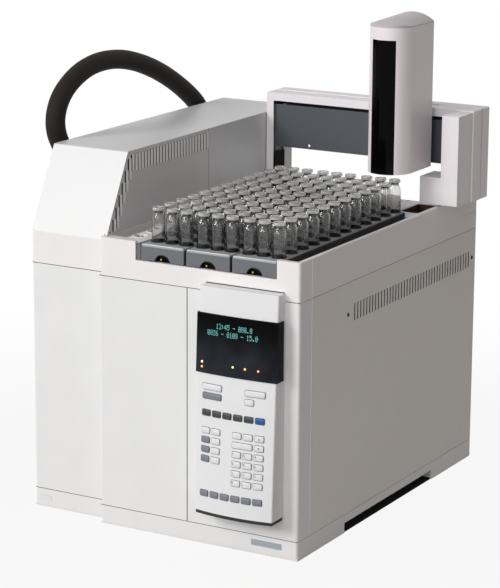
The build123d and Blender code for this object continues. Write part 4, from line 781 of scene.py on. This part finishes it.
def skirt_strip(work, path, thick, low, high):
    """Upright strip along a path of right-angled corners, thickened to its left."""
    rings = []
    for place, corner in enumerate(path):
        shift = Vector((0, 0))
        for start_point, end_point in zip(path[max(place - 1, 0):place + 1],
                                          path[max(place, 1):place + 2]):
            run = Vector(end_point) - Vector(start_point)
            side = Vector((run.y, -run.x)).normalized()
            if side != shift:
                shift += side
        inner = Vector(corner) + shift * thick
        rings.append([work.verts.new(at(*spot, level)) for spot, level in (
            (corner, low), (corner, high), (inner, high), (inner, low))])
    bridge(work, rings)


class AUTOSAMPLER_OT_cabinet(bpy.types.Operator):
    """Finishes the panels, base, frame and rear of the cabinet"""
    bl_idname = "autosampler.cabinet"
    bl_label = "Cabinet"

    def execute(self, context):
        dress_all(CABINET_NODES)
        for name, x, outward in (("right_side_screws", 0, X_WAY),
                                 ("left_side_screws", LEFT, -X_WAY)):
            screw_heads(name, [at(x, y, z) for y, z in SIDE_SCREWS], outward)
        screw_heads("rear_screws", [at(x, REAR, z) for x, z in REAR_SCREWS], Y_WAY)

        work = bmesh.new()
        pillow(work, at(*PLATE_MIDDLE), X_WAY, Z_WAY, -Y_WAY, PLATE_WIDTH, PLATE_HEIGHT, 1.0,
               ((-0.2, 0), (0.35, 0), (0.5, 0.15)))
        new_piece("blank_rating_plate", work, "satin_label_aluminium", "cabinet")

        first, last = HANDHOLD
        work = bmesh.new()
        for path in (((0, first), (0, 0), (STEP_X, 0), (STEP_X, STEP_Y), (LEFT, STEP_Y),
                      (LEFT, first)),
                     ((LEFT, last), (LEFT, REAR), (0, REAR), (0, last))):
            skirt_strip(work, path, SKIRT_THICK, SKIRT_LOW, SKIRT_HIGH)
        new_piece("base_skirt", work, "powder_coated_steel", "cabinet", smooth_angle=30)

        # Dark sheets in the handholds: painted shade in the recesses
        handhold_shade_sheets = blocks(*(((left, first + 0.3, low), (right, last - 0.3, high))
                          for left, right, low, high in HANDHOLD_SHADE_SHEETS))
        new_piece("handhold_liners", handhold_shade_sheets, "black_filter_felt", "cabinet")

        low, high = SLOT_HEIGHTS
        middles = [SLOT_FIRST + SLOT_PITCH * step for step in range(SLOT_COUNT)]
        # Dark sheets behind the side slots: painted shade in them
        side_shade_sheets = blocks(*(((SHADE_SHEET_REAR, y - SLOT_HALF, low), (SHADE_SHEET_FACE, y + SLOT_HALF, high))
                           for y in middles))
        new_piece("side_slot_filters", side_shade_sheets, "black_filter_felt", "cabinet")

        new_piece("seam_seals", blocks(*SEAMS), "black_moulded_rubber", "cabinet")
        new_piece("bezel_seam_edge", blocks(BEZEL_EDGE), "powder_coated_steel", "cabinet")
        return {"FINISHED"}


# Deck

CUP_X, CUP_FIRST, CUP_PITCH, CUP_RADIUS, CUP_SLOTS = -338.5, 58.0, 43.5, 11.75, 10
DECK_TOP = 491.0
# Two slots in the deck and the ways that they run, and the rear end of its right wall
DECK_SLOTS = ((-111, 581), (-102.5, 597))
SLOT_ALONG, SLOT_ACROSS = Vector((0.5, 0.86, 0)), Vector((-0.86, 0.5, 0))
WALL_END = ((-8, 601.8, 470.1), (0, 671.8, 505))


class AUTOSAMPLER_OT_deck(bpy.types.Operator):
    """Adds dark patches as painted shade for the slots in the deck and the cups, and the right
    wall's rear end
    """
    bl_idname = "autosampler.deck"
    bl_label = "Deck details"

    def execute(self, context):
        # Dark patches stand for the slots in the deck: painted shade
        work = bmesh.new()
        for x, y in DECK_SLOTS:
            pillow(work, at(x, y, DECK_TOP), SLOT_ALONG, SLOT_ACROSS, Z_WAY, 10, 2.4, 1.0,
                   ((-0.2, 0), (0.15, 0)))
        new_piece("deck_slots", work, "black_glass_filled_nylon", "cabinet")

        wall = new_piece("wall_rear_end", blocks(WALL_END), "painted_structural_foam", "cabinet",
                         smooth_angle=30)
        soften(wall, 0.5 * MM)

        # Dark patches stand for the slots round each cup: painted shade
        work = bmesh.new()
        for row in range(3):
            for step in range(CUP_SLOTS):
                turn = 2 * math.pi * step / CUP_SLOTS
                outward = Vector((-math.cos(turn), -math.sin(turn), 0))
                along = Vector((-math.sin(turn), math.cos(turn), 0))
                spot = at(CUP_X + CUP_RADIUS * math.cos(turn),
                          CUP_FIRST + CUP_PITCH * row + CUP_RADIUS * math.sin(turn), DECK_TOP)
                pillow(work, spot, along, Z_WAY, outward, 3.0, 14, 1.2, ((-0.1, 0), (0.1, 0)))
        new_piece("cup_slots", work, "black_glass_filled_nylon", "cabinet")
        return {"FINISHED"}


# Hood

LOUVRE_FIRST, LOUVRE_PITCH, LOUVRE_HEIGHTS = 103.6, 9.85, (597.5, 627.5)
LOUVRES_LEVEL, LOUVRES_ON_SLOPE = 26, 7
# The hood's front slope: it climbs this far over this run, from this height
SLOPE_LOW, SLOPE_RISE, SLOPE_RUN = 494.4, 139.6, 71
# Shares of that climb: the margin over a louvre on the slope, its length and its lowest foot
LOUVRE_MARGIN, LOUVRE_LENGTH, LOUVRE_FOOT = 0.104, 0.265, 0.0645
HOOD_SEAM = ((-387, 359.2, 500), (-384.94, 360.1, 634))


def louvre_places():
    """Depth, lower end and upper end of each louvre on the hood's right face."""
    places = [(LOUVRE_FIRST + LOUVRE_PITCH * step, *LOUVRE_HEIGHTS)
              for step in range(LOUVRES_LEVEL)]
    for step in range(1, LOUVRES_ON_SLOPE + 1):
        y = LOUVRE_FIRST - LOUVRE_PITCH * step
        high = (y - STEP_Y) / SLOPE_RUN - LOUVRE_MARGIN
        low = max(high - LOUVRE_LENGTH, LOUVRE_FOOT)
        places.append((y, SLOPE_LOW + SLOPE_RISE * low, SLOPE_LOW + SLOPE_RISE * high))
    return places


class AUTOSAMPLER_OT_hood(bpy.types.Operator):
    """Finishes the hood's covers, with painted shade in the louvres and painted highlights on blades
    """
    bl_idname = "autosampler.hood"
    bl_label = "Hood"

    def execute(self, context):
        dress("painted_hood_moulding", 0, "hood_front_cover", "hood_rear_cover")
        louvre_shade_sheets = bmesh.new()
        blades = bmesh.new()
        for y, low, high in louvre_places():
            # A dark sheet in each slot: painted shade
            block(louvre_shade_sheets, (-387.9, y - 2.25, low + 0.1), (-385.3, y + 2.25, high - 0.1))
            # A pale blade beside each slot: a painted highlight
            prism(blades, ((-385.2, y + 2.4), (-385.2, y + 7.5), (-383.7, y + 7.5)),
                  low + 0.5, high - 0.5)
        new_piece("hood_slot_filters", louvre_shade_sheets, "black_filter_felt", "cabinet")
        new_piece("hood_slot_blades", blades, "baked_enamel_louvre_blades", "cabinet",
                  smooth_angle=20)
        new_piece("hood_seam_seal", blocks(HOOD_SEAM), "black_moulded_rubber", "cabinet")
        return {"FINISHED"}


# Racks and vials

RACKS = {"left_rack": -261.4, "middle_rack": -173.9, "right_rack": -86.4}
RACK_LOW, RACK_TOP, RACK_REAR = 473.4, 500.5, 466.0
RACK_HALF, RACK_WALL = 41.3, 2.5
RACK_FACE_TOP = RACK_TOP - 2.4
ARCH_RADIUS, ARCH_MIDDLE, ARCH_STEPS = 15.8, 471.2, 12
VIAL_BOTTOM = 484.0
VIAL_PITCH_X, VIAL_PITCH_Y, VIAL_FIRST_Y = 27.6, 37.8, 35.5
# Radius and height of the glass, in millimetres: up the outside and down the inside
VIAL_PROFILE = (
    (0, 1.0), (5.5, 0.7), (8.8, 0.0), (10.6, 0.7), (11.3, 2.2), (11.375, 4.0),
    (11.375, 56.0), (11.1, 58.4), (10.2, 61.2), (8.8, 63.6), (7.8, 65.2), (7.4, 66.8),
    (7.4, 69.6), (8.0, 70.3), (9.9, 70.5), (10.2, 71.0), (10.2, 74.9), (9.8, 75.4),
    (7.0, 75.5), (6.3, 74.9), (6.2, 72.0), (6.2, 66.4), (6.9, 64.4), (8.8, 61.6),
    (10.1, 58.0), (10.3, 55.6), (10.3, 4.2), (9.6, 2.6), (6.5, 2.2), (0, 2.5),
)
NECK_HEIGHT, RIM_HEIGHT = 65.5, 70.3
# The dark ring round a vial's foot, painted shade in its socket, and the brass pin at a rack's
# front, likewise
SOCKET_SHADE_PROFILE = ((13.0, -1), (13.0, 1.3), (11.7, 1.5), (11.7, -12))
CATCH_PROFILE = ((0, 3.2), (1.6, 2.9), (2.2, 1.6), (2.2, -4))
# Filler between the left rack and the deck, in front and on top
SIDE_TRIM = (((-312, 2.6, 473.6), (-304, 8, 499.6)), ((-312, 8, 497.6), (-304, 467, 499.6)))


def vial_spots(middle):
    """Places of the vials in one rack."""
    return [(middle + column * VIAL_PITCH_X, VIAL_FIRST_Y + row * VIAL_PITCH_Y)
            for row in range(12) for column in (-1, 0, 1)]


def rack_plate(name, middle, width, front, corner, socket, sides, thickness, depth, bevel=0.0):
    """Level plate with round sockets, its middle this far under the rack's top."""
    length = RACK_REAR - front
    outline = [(x, y + front + length / 2) for x, y in rounded_outline(width, length, corner)]
    holes = [(x - middle, y, socket, sides) for x, y in vial_spots(middle)]
    plate = pierced_plate(name, outline, holes, thickness * MM, bevel * MM)
    plate.transform(Matrix.Translation(at(middle, 0, RACK_TOP - depth)))
    return plate


def rack_trough(middle):
    """Walls and floor under a rack's plates."""
    out, inner = RACK_HALF + 0.7, RACK_HALF - 1.8
    return blocks(
        ((middle - out, 6.4, RACK_LOW), (middle - inner, RACK_REAR, RACK_FACE_TOP)),
        ((middle + inner, 6.4, RACK_LOW), (middle + out, RACK_REAR, RACK_FACE_TOP)),
        ((middle - inner, RACK_REAR - RACK_WALL, RACK_LOW),
         (middle + inner, RACK_REAR, RACK_FACE_TOP)),
        ((middle - inner, 24, RACK_LOW),
         (middle + inner, RACK_REAR - RACK_WALL, VIAL_BOTTOM - 0.3)))


def rack_face(name, middle):
    """Front of a rack with the arch of its finger pull."""
    points = [(-RACK_HALF, RACK_LOW)]
    for step in range(ARCH_STEPS + 1):
        turn = math.pi * (1 - step / ARCH_STEPS)
        x, z = ARCH_RADIUS * math.cos(turn), ARCH_MIDDLE + ARCH_RADIUS * math.sin(turn)
        if z >= RACK_LOW:
            points.append((x, z))
    points += [(RACK_HALF, RACK_LOW), (RACK_HALF, RACK_FACE_TOP), (-RACK_HALF, RACK_FACE_TOP)]
    return stand_up(pierced_plate(name, points, [], 4 * MM, 0.4 * MM), middle, 4.5)


class AUTOSAMPLER_OT_racks(bpy.types.Operator):
    """Builds the three racks with round sockets and arched finger pulls"""
    bl_idname = "autosampler.racks"
    bl_label = "Racks"

    def execute(self, context):
        for name, middle in RACKS.items():
            # The top plate is drawn paler than the face: painted light
            top = rack_plate(name + "_top", middle, width=82.6, front=2, corner=3, socket=13.1,
                             sides=24, thickness=2.2, depth=1.1, bevel=0.5)
            new_piece(name + "_top", top, "worn_polypropylene_rim", name, (name,))
            # The dark core and body are dark plastic, and painted shade in the sockets and between
            # racks
            core = rack_plate(name + "_core", middle, width=82, front=6, corner=2, socket=13.2,
                              sides=20, thickness=14, depth=9.5)
            new_piece(name + "_core", core, "charcoal_polypropylene", name)
            new_piece(name + "_body", rack_trough(middle), "charcoal_polypropylene", name)
            new_piece(name + "_face", rack_face(name + "_face", middle), "grey_polypropylene",
                      name)

            # A pale ridge across the face and a pale lip on the top's front edge: painted highlights
            ridge = bmesh.new()
            pillow(ridge, at(middle, 2.6, RACK_TOP - 7.7), X_WAY, Z_WAY, -Y_WAY, 56, 0.9, 0.3,
                   ((-0.3, 0), (0.25, 0), (0.35, 0.2)))
            pillow(ridge, at(middle, 3.9, RACK_TOP - 0.2), X_WAY, Y_WAY, Z_WAY, 80, 3.0, 1.4,
                   ((-0.3, 0), (1.0, 0), (1.5, 0.35), (1.7, 1.1)))
            new_piece(name + "_ridge", ridge, "polished_polypropylene_lip", name)

            catch = bmesh.new()
            turned(catch, [at(middle - 6, 11, 477.2)], CATCH_PROFILE, 12,
                   Matrix.Rotation(math.radians(90), 3, "X"))
            new_piece(name + "_catch", catch, "turned_brass", name)

            # Dark rings round the vials' feet: painted shade in the sockets
            socket_shade = bmesh.new()
            turned(socket_shade, [at(x, y, RACK_TOP) for x, y in vial_spots(middle)],
                   SOCKET_SHADE_PROFILE, 20)
            new_piece(name + "_sleeves", socket_shade, "black_sleeve_rubber", name)
        new_piece("rack_side_trim", blocks(*SIDE_TRIM), "grey_polypropylene", "cabinet",
                  smooth_angle=30)
        return {"FINISHED"}


class AUTOSAMPLER_OT_vials(bpy.types.Operator):
    """Blows the open glass vials that stand in the racks"""
    bl_idname = "autosampler.vials"
    bl_label = "Vials"

    def execute(self, context):
        for name, middle in RACKS.items():
            work = bmesh.new()
            turned(work, [at(x, y, VIAL_BOTTOM) for x, y in vial_spots(middle)], VIAL_PROFILE,
                   settings()[1].glass_sides)
            glass = new_piece(name + "_glass", work, "drawn_borosilicate_glass", name,
                              (name + "_vials",), smooth_angle=45)
            # The neck glass is tinted dark: painted shade
            glass.data.materials.append(finish("necked_borosilicate_glass"))
            glass.data.materials.append(finish("fire_polished_rim_glass"))
            for polygon in glass.data.polygons:
                height = polygon.center.z / MM - VIAL_BOTTOM
                polygon.material_index = (height > NECK_HEIGHT) + (height > RIM_HEIGHT)
        return {"FINISHED"}


# Console

CONSOLE_X, CONSOLE_HALF = -101.4, 74.0
CONSOLE_LOW, CONSOLE_TOP = 74.0, 452.0
# How far its face stands proud of the front and how far it bows, below and above
PROUD_LOW, PROUD_TOP = 38.0, 20.0
BOW_LOW, BOW_TOP = 8.0, 2.5
VISOR_PROUD = 2.2


def console_face(x, z):
    """Depth of the bowed console's front at a place, in millimetres."""
    up = (z - CONSOLE_LOW) / (CONSOLE_TOP - CONSOLE_LOW)
    proud = PROUD_LOW + up * (PROUD_TOP - PROUD_LOW)
    sag = BOW_LOW + up * (BOW_TOP - BOW_LOW)
    radius = (CONSOLE_HALF ** 2 + sag ** 2) / (2 * sag)
    return -proud - sag + radius - math.sqrt(radius ** 2 - (x - CONSOLE_X) ** 2)


def console_place(x, z, lift=0.0):
    """Point on the console with its directions along, above and outward."""
    slope_x = (console_face(x + 4, z) - console_face(x - 4, z)) / 8
    slope_z = (console_face(x, z + 4) - console_face(x, z - 4)) / 8
    along = Vector((1, slope_x, 0)).normalized()
    above = Vector((0, slope_z, 1)).normalized()
    outward = along.cross(above)
    above = outward.cross(along)
    return at(x, console_face(x, z), z) + outward * (lift * MM), along, above, outward


KEY_LEFT, KEY_PITCH, KEY_WIDTH, KEY_HEIGHT, KEY_RISE = -163.2, 20.25, 16.4, 10.0, 1.9
KEY_ROWS = {"a": 290.5, "b": 275.4, "c": 246.8, "d": 217.0, "e": 201.0, "f": 185.0,
            "g": 169.0, "h": 153.0, "i": 137.0, "j": 110.2}
# Body, colour and keys, each a row, a column and a width in columns
KEYS = (
    ("select_keys", "key_white", [("a", 0, 2), ("a", 4, 2), ("b", 4, 1)]),
    ("select_keys", "key_grey", [("b", 0, 2)]),
    ("menu_keys", "key_dark", [("c", place, 1) for place in range(5)]),
    ("start_key", "key_blue", [("c", 5, 1)]),
    ("function_keys", "key_white", [("d", 0, 1)] + [(row, 1, 1) for row in "defg"]),
    ("function_keys", "key_grey", [(row, 0, 1) for row in "efg"]
     + [("j", place, 1) for place in range(6)]),
    ("number_keys", "key_white", [("d", 3, 1), ("d", 4, 1), ("d", 5, 1), ("e", 3, 2),
                                  ("e", 5, 1)]
     + [(row, place, 1) for row in "fghi" for place in (3, 4, 5)]),
)
KEY_DIGITS = {("f", 3): "7", ("f", 4): "8", ("f", 5): "9", ("g", 3): "4", ("g", 4): "5",
              ("g", 5): "6", ("h", 3): "1", ("h", 4): "2", ("h", 5): "3", ("i", 3): "0",
              ("i", 4): ".", ("i", 5): "-"}
# Characters in seven rows of five dots, each this many columns on from the last
LETTER_COLUMNS = 6
DOTS = {
    "0": "01110100011001110101110011000101110", "1": "00100011000010000100001000010001110",
    "2": "01110100010000100010001000100011111", "3": "11111000100010000010000011000101110",
    "4": "00010001100101010010111110001000010", "5": "11111100001111000001000011000101110",
    "6": "00110010001000011110100011000101110", "7": "11111000010001000100010000100001000",
    "8": "01110100011000101110100011000101110", "9": "01110100011000101111000010001001100",
    ".": "00000000000000000000000000110001100", ":": "00000011000110000000011000110000000",
    "-": "00000000000000011111000000000000000", " ": "0" * 35,
}
INDICATORS = (
    ("idle_lamp", -165.5, 326.2), ("heat_lamp", -165.5, 318.0), ("run_lamp", -105.8, 325.2),
    ("wait_lamp", -83.2, 324.9), ("alert_lamp", -59.1, 324.6),
)
# Radius and height of a lamp's lens and of the bright core in it, in millimetres
LENS_PROFILE = ((2.0, -1.5), (2.0, 0.0), (1.8, 0.32), (1.1, 0.52), (0, 0.6))
CORE_PROFILE, CORE_LIFT = ((1.0, 0.0), (0.8, 0.18), (0, 0.2)), 0.5
# Start of the display's upper and lower row
UPPER_ROW, LOWER_ROW = (-139.5, 393.0), (-155.5, 381.0)
# Heights of the dark strip under the console's foot, a painted shadow, and corners of the dark gap
# line over its top
FOOT_SHADOW_LOW, FOOT_SHADOW_HIGH, FOOT_SHADOW_HALF = 67.5, 73.8, 72
TOP_SEAL = ((-175, -1.2, 452.1), (-28, -0.1, 453.4))


def key_middle(row, place, span):
    """Middle of a key on the console and its width."""
    width = KEY_WIDTH + (span - 1) * KEY_PITCH
    return KEY_LEFT + place * KEY_PITCH + width / 2, KEY_ROWS[row] - KEY_HEIGHT / 2, width


def draw_dots(work, text, x, z, wide, tall, lift, bar):
    """Digits in a matrix of five by seven small bars, starting at a place."""
    for letter in text:
        for spot, lit in enumerate(DOTS[letter]):
            if lit == "1":
                place, *ways = console_place(x + (spot % 5) * wide, z - (spot // 5) * tall, lift)
                pillow(work, place, *ways, wide * bar, tall * bar, wide * 0.1,
                       ((-0.12, 0), (0.04, 0)))
        x += wide * LETTER_COLUMNS


def key_caps(crown):
    """Caps of the keys with the digits on them, and dark outlines round them as painted shade."""
    marks, shade_outlines = bmesh.new(), bmesh.new()
    for body, tone, keys in KEYS:
        caps = bmesh.new()
        for row, place, span in keys:
            x, z, width = key_middle(row, place, span)
            spot, *ways = console_place(x, z)
            pillow(caps, spot, *ways, width, KEY_HEIGHT, 2.4,
                   ((-1.8, 0), (KEY_RISE - crown, 0),
                    (KEY_RISE - crown * 0.35, crown * 0.35), (KEY_RISE, crown)))
            # A dark ring round each key: painted shade in the gap round it
            pillow(shade_outlines, spot, *ways, width + 1.7, KEY_HEIGHT + 1.7, 3.0,
                   ((-0.2, 0), (0.3, 0)))
            if body == "number_keys" and (row, place) in KEY_DIGITS:
                draw_dots(marks, KEY_DIGITS[(row, place)], x - 6.4, z + 3.1, wide=0.62,
                          tall=0.62, lift=KEY_RISE + 0.02, bar=1.05)
        new_piece(body + "_" + tone, caps, "moulded_" + tone, body, (body,))
    # Arrows up and down on the last key of the two upper rows
    for row, rise in (("d", 1), ("e", -1)):
        x, z, _ = key_middle(row, 5, 1)
        spot, along, above, outward = console_place(x, z, KEY_RISE + 0.05)
        tips = [spot + above * (rise * 1.6 * MM),
                spot - above * (rise * 1.4 * MM) + along * (1.8 * MM),
                spot - above * (rise * 1.4 * MM) - along * (1.8 * MM)]
        bridge(marks, [[marks.verts.new(tip - outward * (sink * MM)) for tip in tips]
                       for sink in (0.1, 0)])
    new_piece("key_marks", marks, "printing_ink", "number_keys")
    new_piece("key_gaskets", shade_outlines, "grey_keypad_mat", "cabinet")


def console_seals():
    """Dark strip under the console's foot as a painted shadow, and a dark gap line over its top."""
    # The strip under the foot stands for the console's shadow: painted shadow
    foot = [(CONSOLE_X + x, console_face(CONSOLE_X + x, CONSOLE_LOW) + 2.5)
            for x in range(-FOOT_SHADOW_HALF, FOOT_SHADOW_HALF + 1, 6)]
    foot += [(CONSOLE_X + FOOT_SHADOW_HALF, -0.1), (CONSOLE_X - FOOT_SHADOW_HALF, -0.1)]
    dark_strips = bmesh.new()
    prism(dark_strips, foot, FOOT_SHADOW_LOW, FOOT_SHADOW_HIGH)
    block(dark_strips, *TOP_SEAL)
    new_piece("console_seals", dark_strips, "black_moulded_rubber", "cabinet", smooth_angle=30)


def display_parts(sizes):
    """Digits of the display and the lamps under them."""
    digits = bmesh.new()
    for text, place in ((sizes.display_top, UPPER_ROW), (sizes.display_low, LOWER_ROW)):
        draw_dots(digits, text, *place, wide=0.88, tall=1.3, lift=VISOR_PROUD + 0.06, bar=0.5)
    new_piece("display_digits", digits, "display_glow", "cabinet")
    for name, x, z in INDICATORS:
        spot, *ways = console_place(x, z, VISOR_PROUD)
        tilt = Matrix(ways).transposed()
        lens, core = bmesh.new(), bmesh.new()
        turned(lens, [spot], LENS_PROFILE, 16, tilt)
        new_piece(name, lens, name + "_glow", "cabinet", ("indicator_lamps",))
        turned(core, [spot + ways[2] * (CORE_LIFT * MM)], CORE_PROFILE, 12, tilt)
        new_piece(name + "_core", core, "lamp_core_glow", "cabinet")


class AUTOSAMPLER_OT_console(bpy.types.Operator):
    """Builds the keypad's caps, its display digits and its lamps"""
    bl_idname = "autosampler.console"
    bl_label = "Keypad console"

    def execute(self, context):
        sizes = settings()[1]
        dress("moulded_abs_console", 0.5 * MM, "keypad_console")
        # The lens grows paler below: a painted reflection
        dress("tinted_display_lens", 0.5 * MM, "display_visor")
        key_caps(sizes.key_crown / MM)
        console_seals()
        display_parts(sizes)
        return {"FINISHED"}


# Gantry and tower

GANTRY_NODES = (
    ("slate_painted_panel", 1 / 4, ("beam_panel",)),
    ("black_anodised_aluminium", 1 / 2, ("gantry_bridge", "cross_motor")),
    ("black_glass_filled_nylon", 1 / 2, ("gantry_shoes",)),
    ("ground_shaft_steel", 1 / 2, ("cross_rail",)),
    ("black_moulded_rubber", 0, ("cross_belt",)),
    ("clear_anodised_aluminium", 0, ("drive_pulley", "idler_pulley")),
)
TOWER_NODES = (
    ("painted_tower_shell", 0, ("tower_shell",)),
    # The roof is drawn a shade deeper than the shell: painted shade
    ("painted_tower_roof", 0, ("tower_roof",)),
    ("smoked_acrylic_window", 0, ("tower_window",)),
    ("clear_anodised_aluminium", 1 / 2, ("tower_backbone", "gripper_slide")),
    ("ground_shaft_steel", 0, ("guide_rods", "lead_screw")),
    ("black_anodised_aluminium", 1 / 2, ("lift_motor",)),
    ("black_glass_filled_nylon", 1 / 2, ("guard_pin",)),
    ("brushed_stainless_steel", 0, ("guard_spring",)),
    ("brushed_stainless_steel", 1 / 4, ("front_jaw", "rear_jaw")),
)
# Front of the end housing, its depth from front to rear and the middle of that
HOUSING_OUTLINE = ((-37.9, 509.2), (35.4, 509.2), (35.4, 669.9), (2.5, 669.9), (2.5, 557.9),
                   (-37.9, 557.9))
HOUSING_DEPTH, HOUSING_MIDDLE = 56.8, 538.5
# Dark sheet inside the left leg as painted shade, and the lip over the joint of the two covers
LEG_SHADE_SHEET = ((-365.5, 568.5, 508), (-365.1, 604, 560))
JOINT_LIP = ((-381.5, 599.6, 671.2), (36.5, 601.2, 673))


class AUTOSAMPLER_OT_gantry(bpy.types.Operator):
    """Finishes the gantry's covers, bridge and drive"""
    bl_idname = "autosampler.gantry"
    bl_label = "Gantry"

    def execute(self, context):
        dress("painted_gantry_cover", 1.3 * MM, "gantry_front_cover", "gantry_rear_cover",
              segments=3)
        dress_all(GANTRY_NODES)
        # A dark sheet in the leg's recess: painted shade
        new_piece("left_leg_lining", blocks(LEG_SHADE_SHEET), "black_filter_felt", "gantry")
        new_piece("gantry_joint_lip", blocks(JOINT_LIP), "painted_gantry_cover", "gantry",
                  smooth_angle=30)
        housing = stand_up(pierced_plate("end_housing_cover", HOUSING_OUTLINE, [],
                                         HOUSING_DEPTH * MM, 0.9 * MM), 0, HOUSING_MIDDLE)
        new_piece("end_housing_cover", housing, "painted_gantry_cover", "gantry",
                  ("end_housing",), smooth_angle=30)
        return {"FINISHED"}


class AUTOSAMPLER_OT_tower(bpy.types.Operator):
    """Finishes the tower, its window and the gripper inside"""
    bl_idname = "autosampler.tower"
    bl_label = "Tower and gripper"

    def execute(self, context):
        dress_all(TOWER_NODES)
        return {"FINISHED"}


class AUTOSAMPLER_PT_panel(bpy.types.Panel):
    """Lists the autosampler's pieces, colours and sizes"""
    bl_label = "Autosampler"
    bl_idname = "AUTOSAMPLER_PT_panel"
    bl_space_type = "VIEW_3D"
    bl_region_type = "UI"
    bl_category = "Autosampler"

    def draw(self, context):
        for operator in OPERATORS:
            self.layout.operator(operator.bl_idname)
        for group in (context.scene.sampler_colours, context.scene.sampler_sizes):
            for name in group.bl_rna.properties.keys():
                if name not in ("rna_type", "name"):
                    self.layout.prop(group, name)


OPERATORS = (
    AUTOSAMPLER_OT_stage, AUTOSAMPLER_OT_hose, AUTOSAMPLER_OT_cabinet, AUTOSAMPLER_OT_deck,
    AUTOSAMPLER_OT_hood, AUTOSAMPLER_OT_racks, AUTOSAMPLER_OT_vials, AUTOSAMPLER_OT_console,
    AUTOSAMPLER_OT_gantry, AUTOSAMPLER_OT_tower,
)
CLASSES = (SamplerColours, SamplerSizes, *OPERATORS, AUTOSAMPLER_PT_panel)


def register():
    """Registers the classes and the scene's settings."""
    for kind in CLASSES:
        bpy.utils.register_class(kind)
    bpy.types.Scene.sampler_colours = PointerProperty(type=SamplerColours)
    bpy.types.Scene.sampler_sizes = PointerProperty(type=SamplerSizes)


def unregister():
    """Removes the settings and the classes."""
    del bpy.types.Scene.sampler_sizes
    del bpy.types.Scene.sampler_colours
    for kind in reversed(CLASSES):
        bpy.utils.unregister_class(kind)


def main():
    """Builds every piece in order."""
    register()
    for operator in OPERATORS:
        family, step = operator.bl_idname.split(".")
        getattr(getattr(bpy.ops, family), step)()


if __name__ == "__main__":
    main()
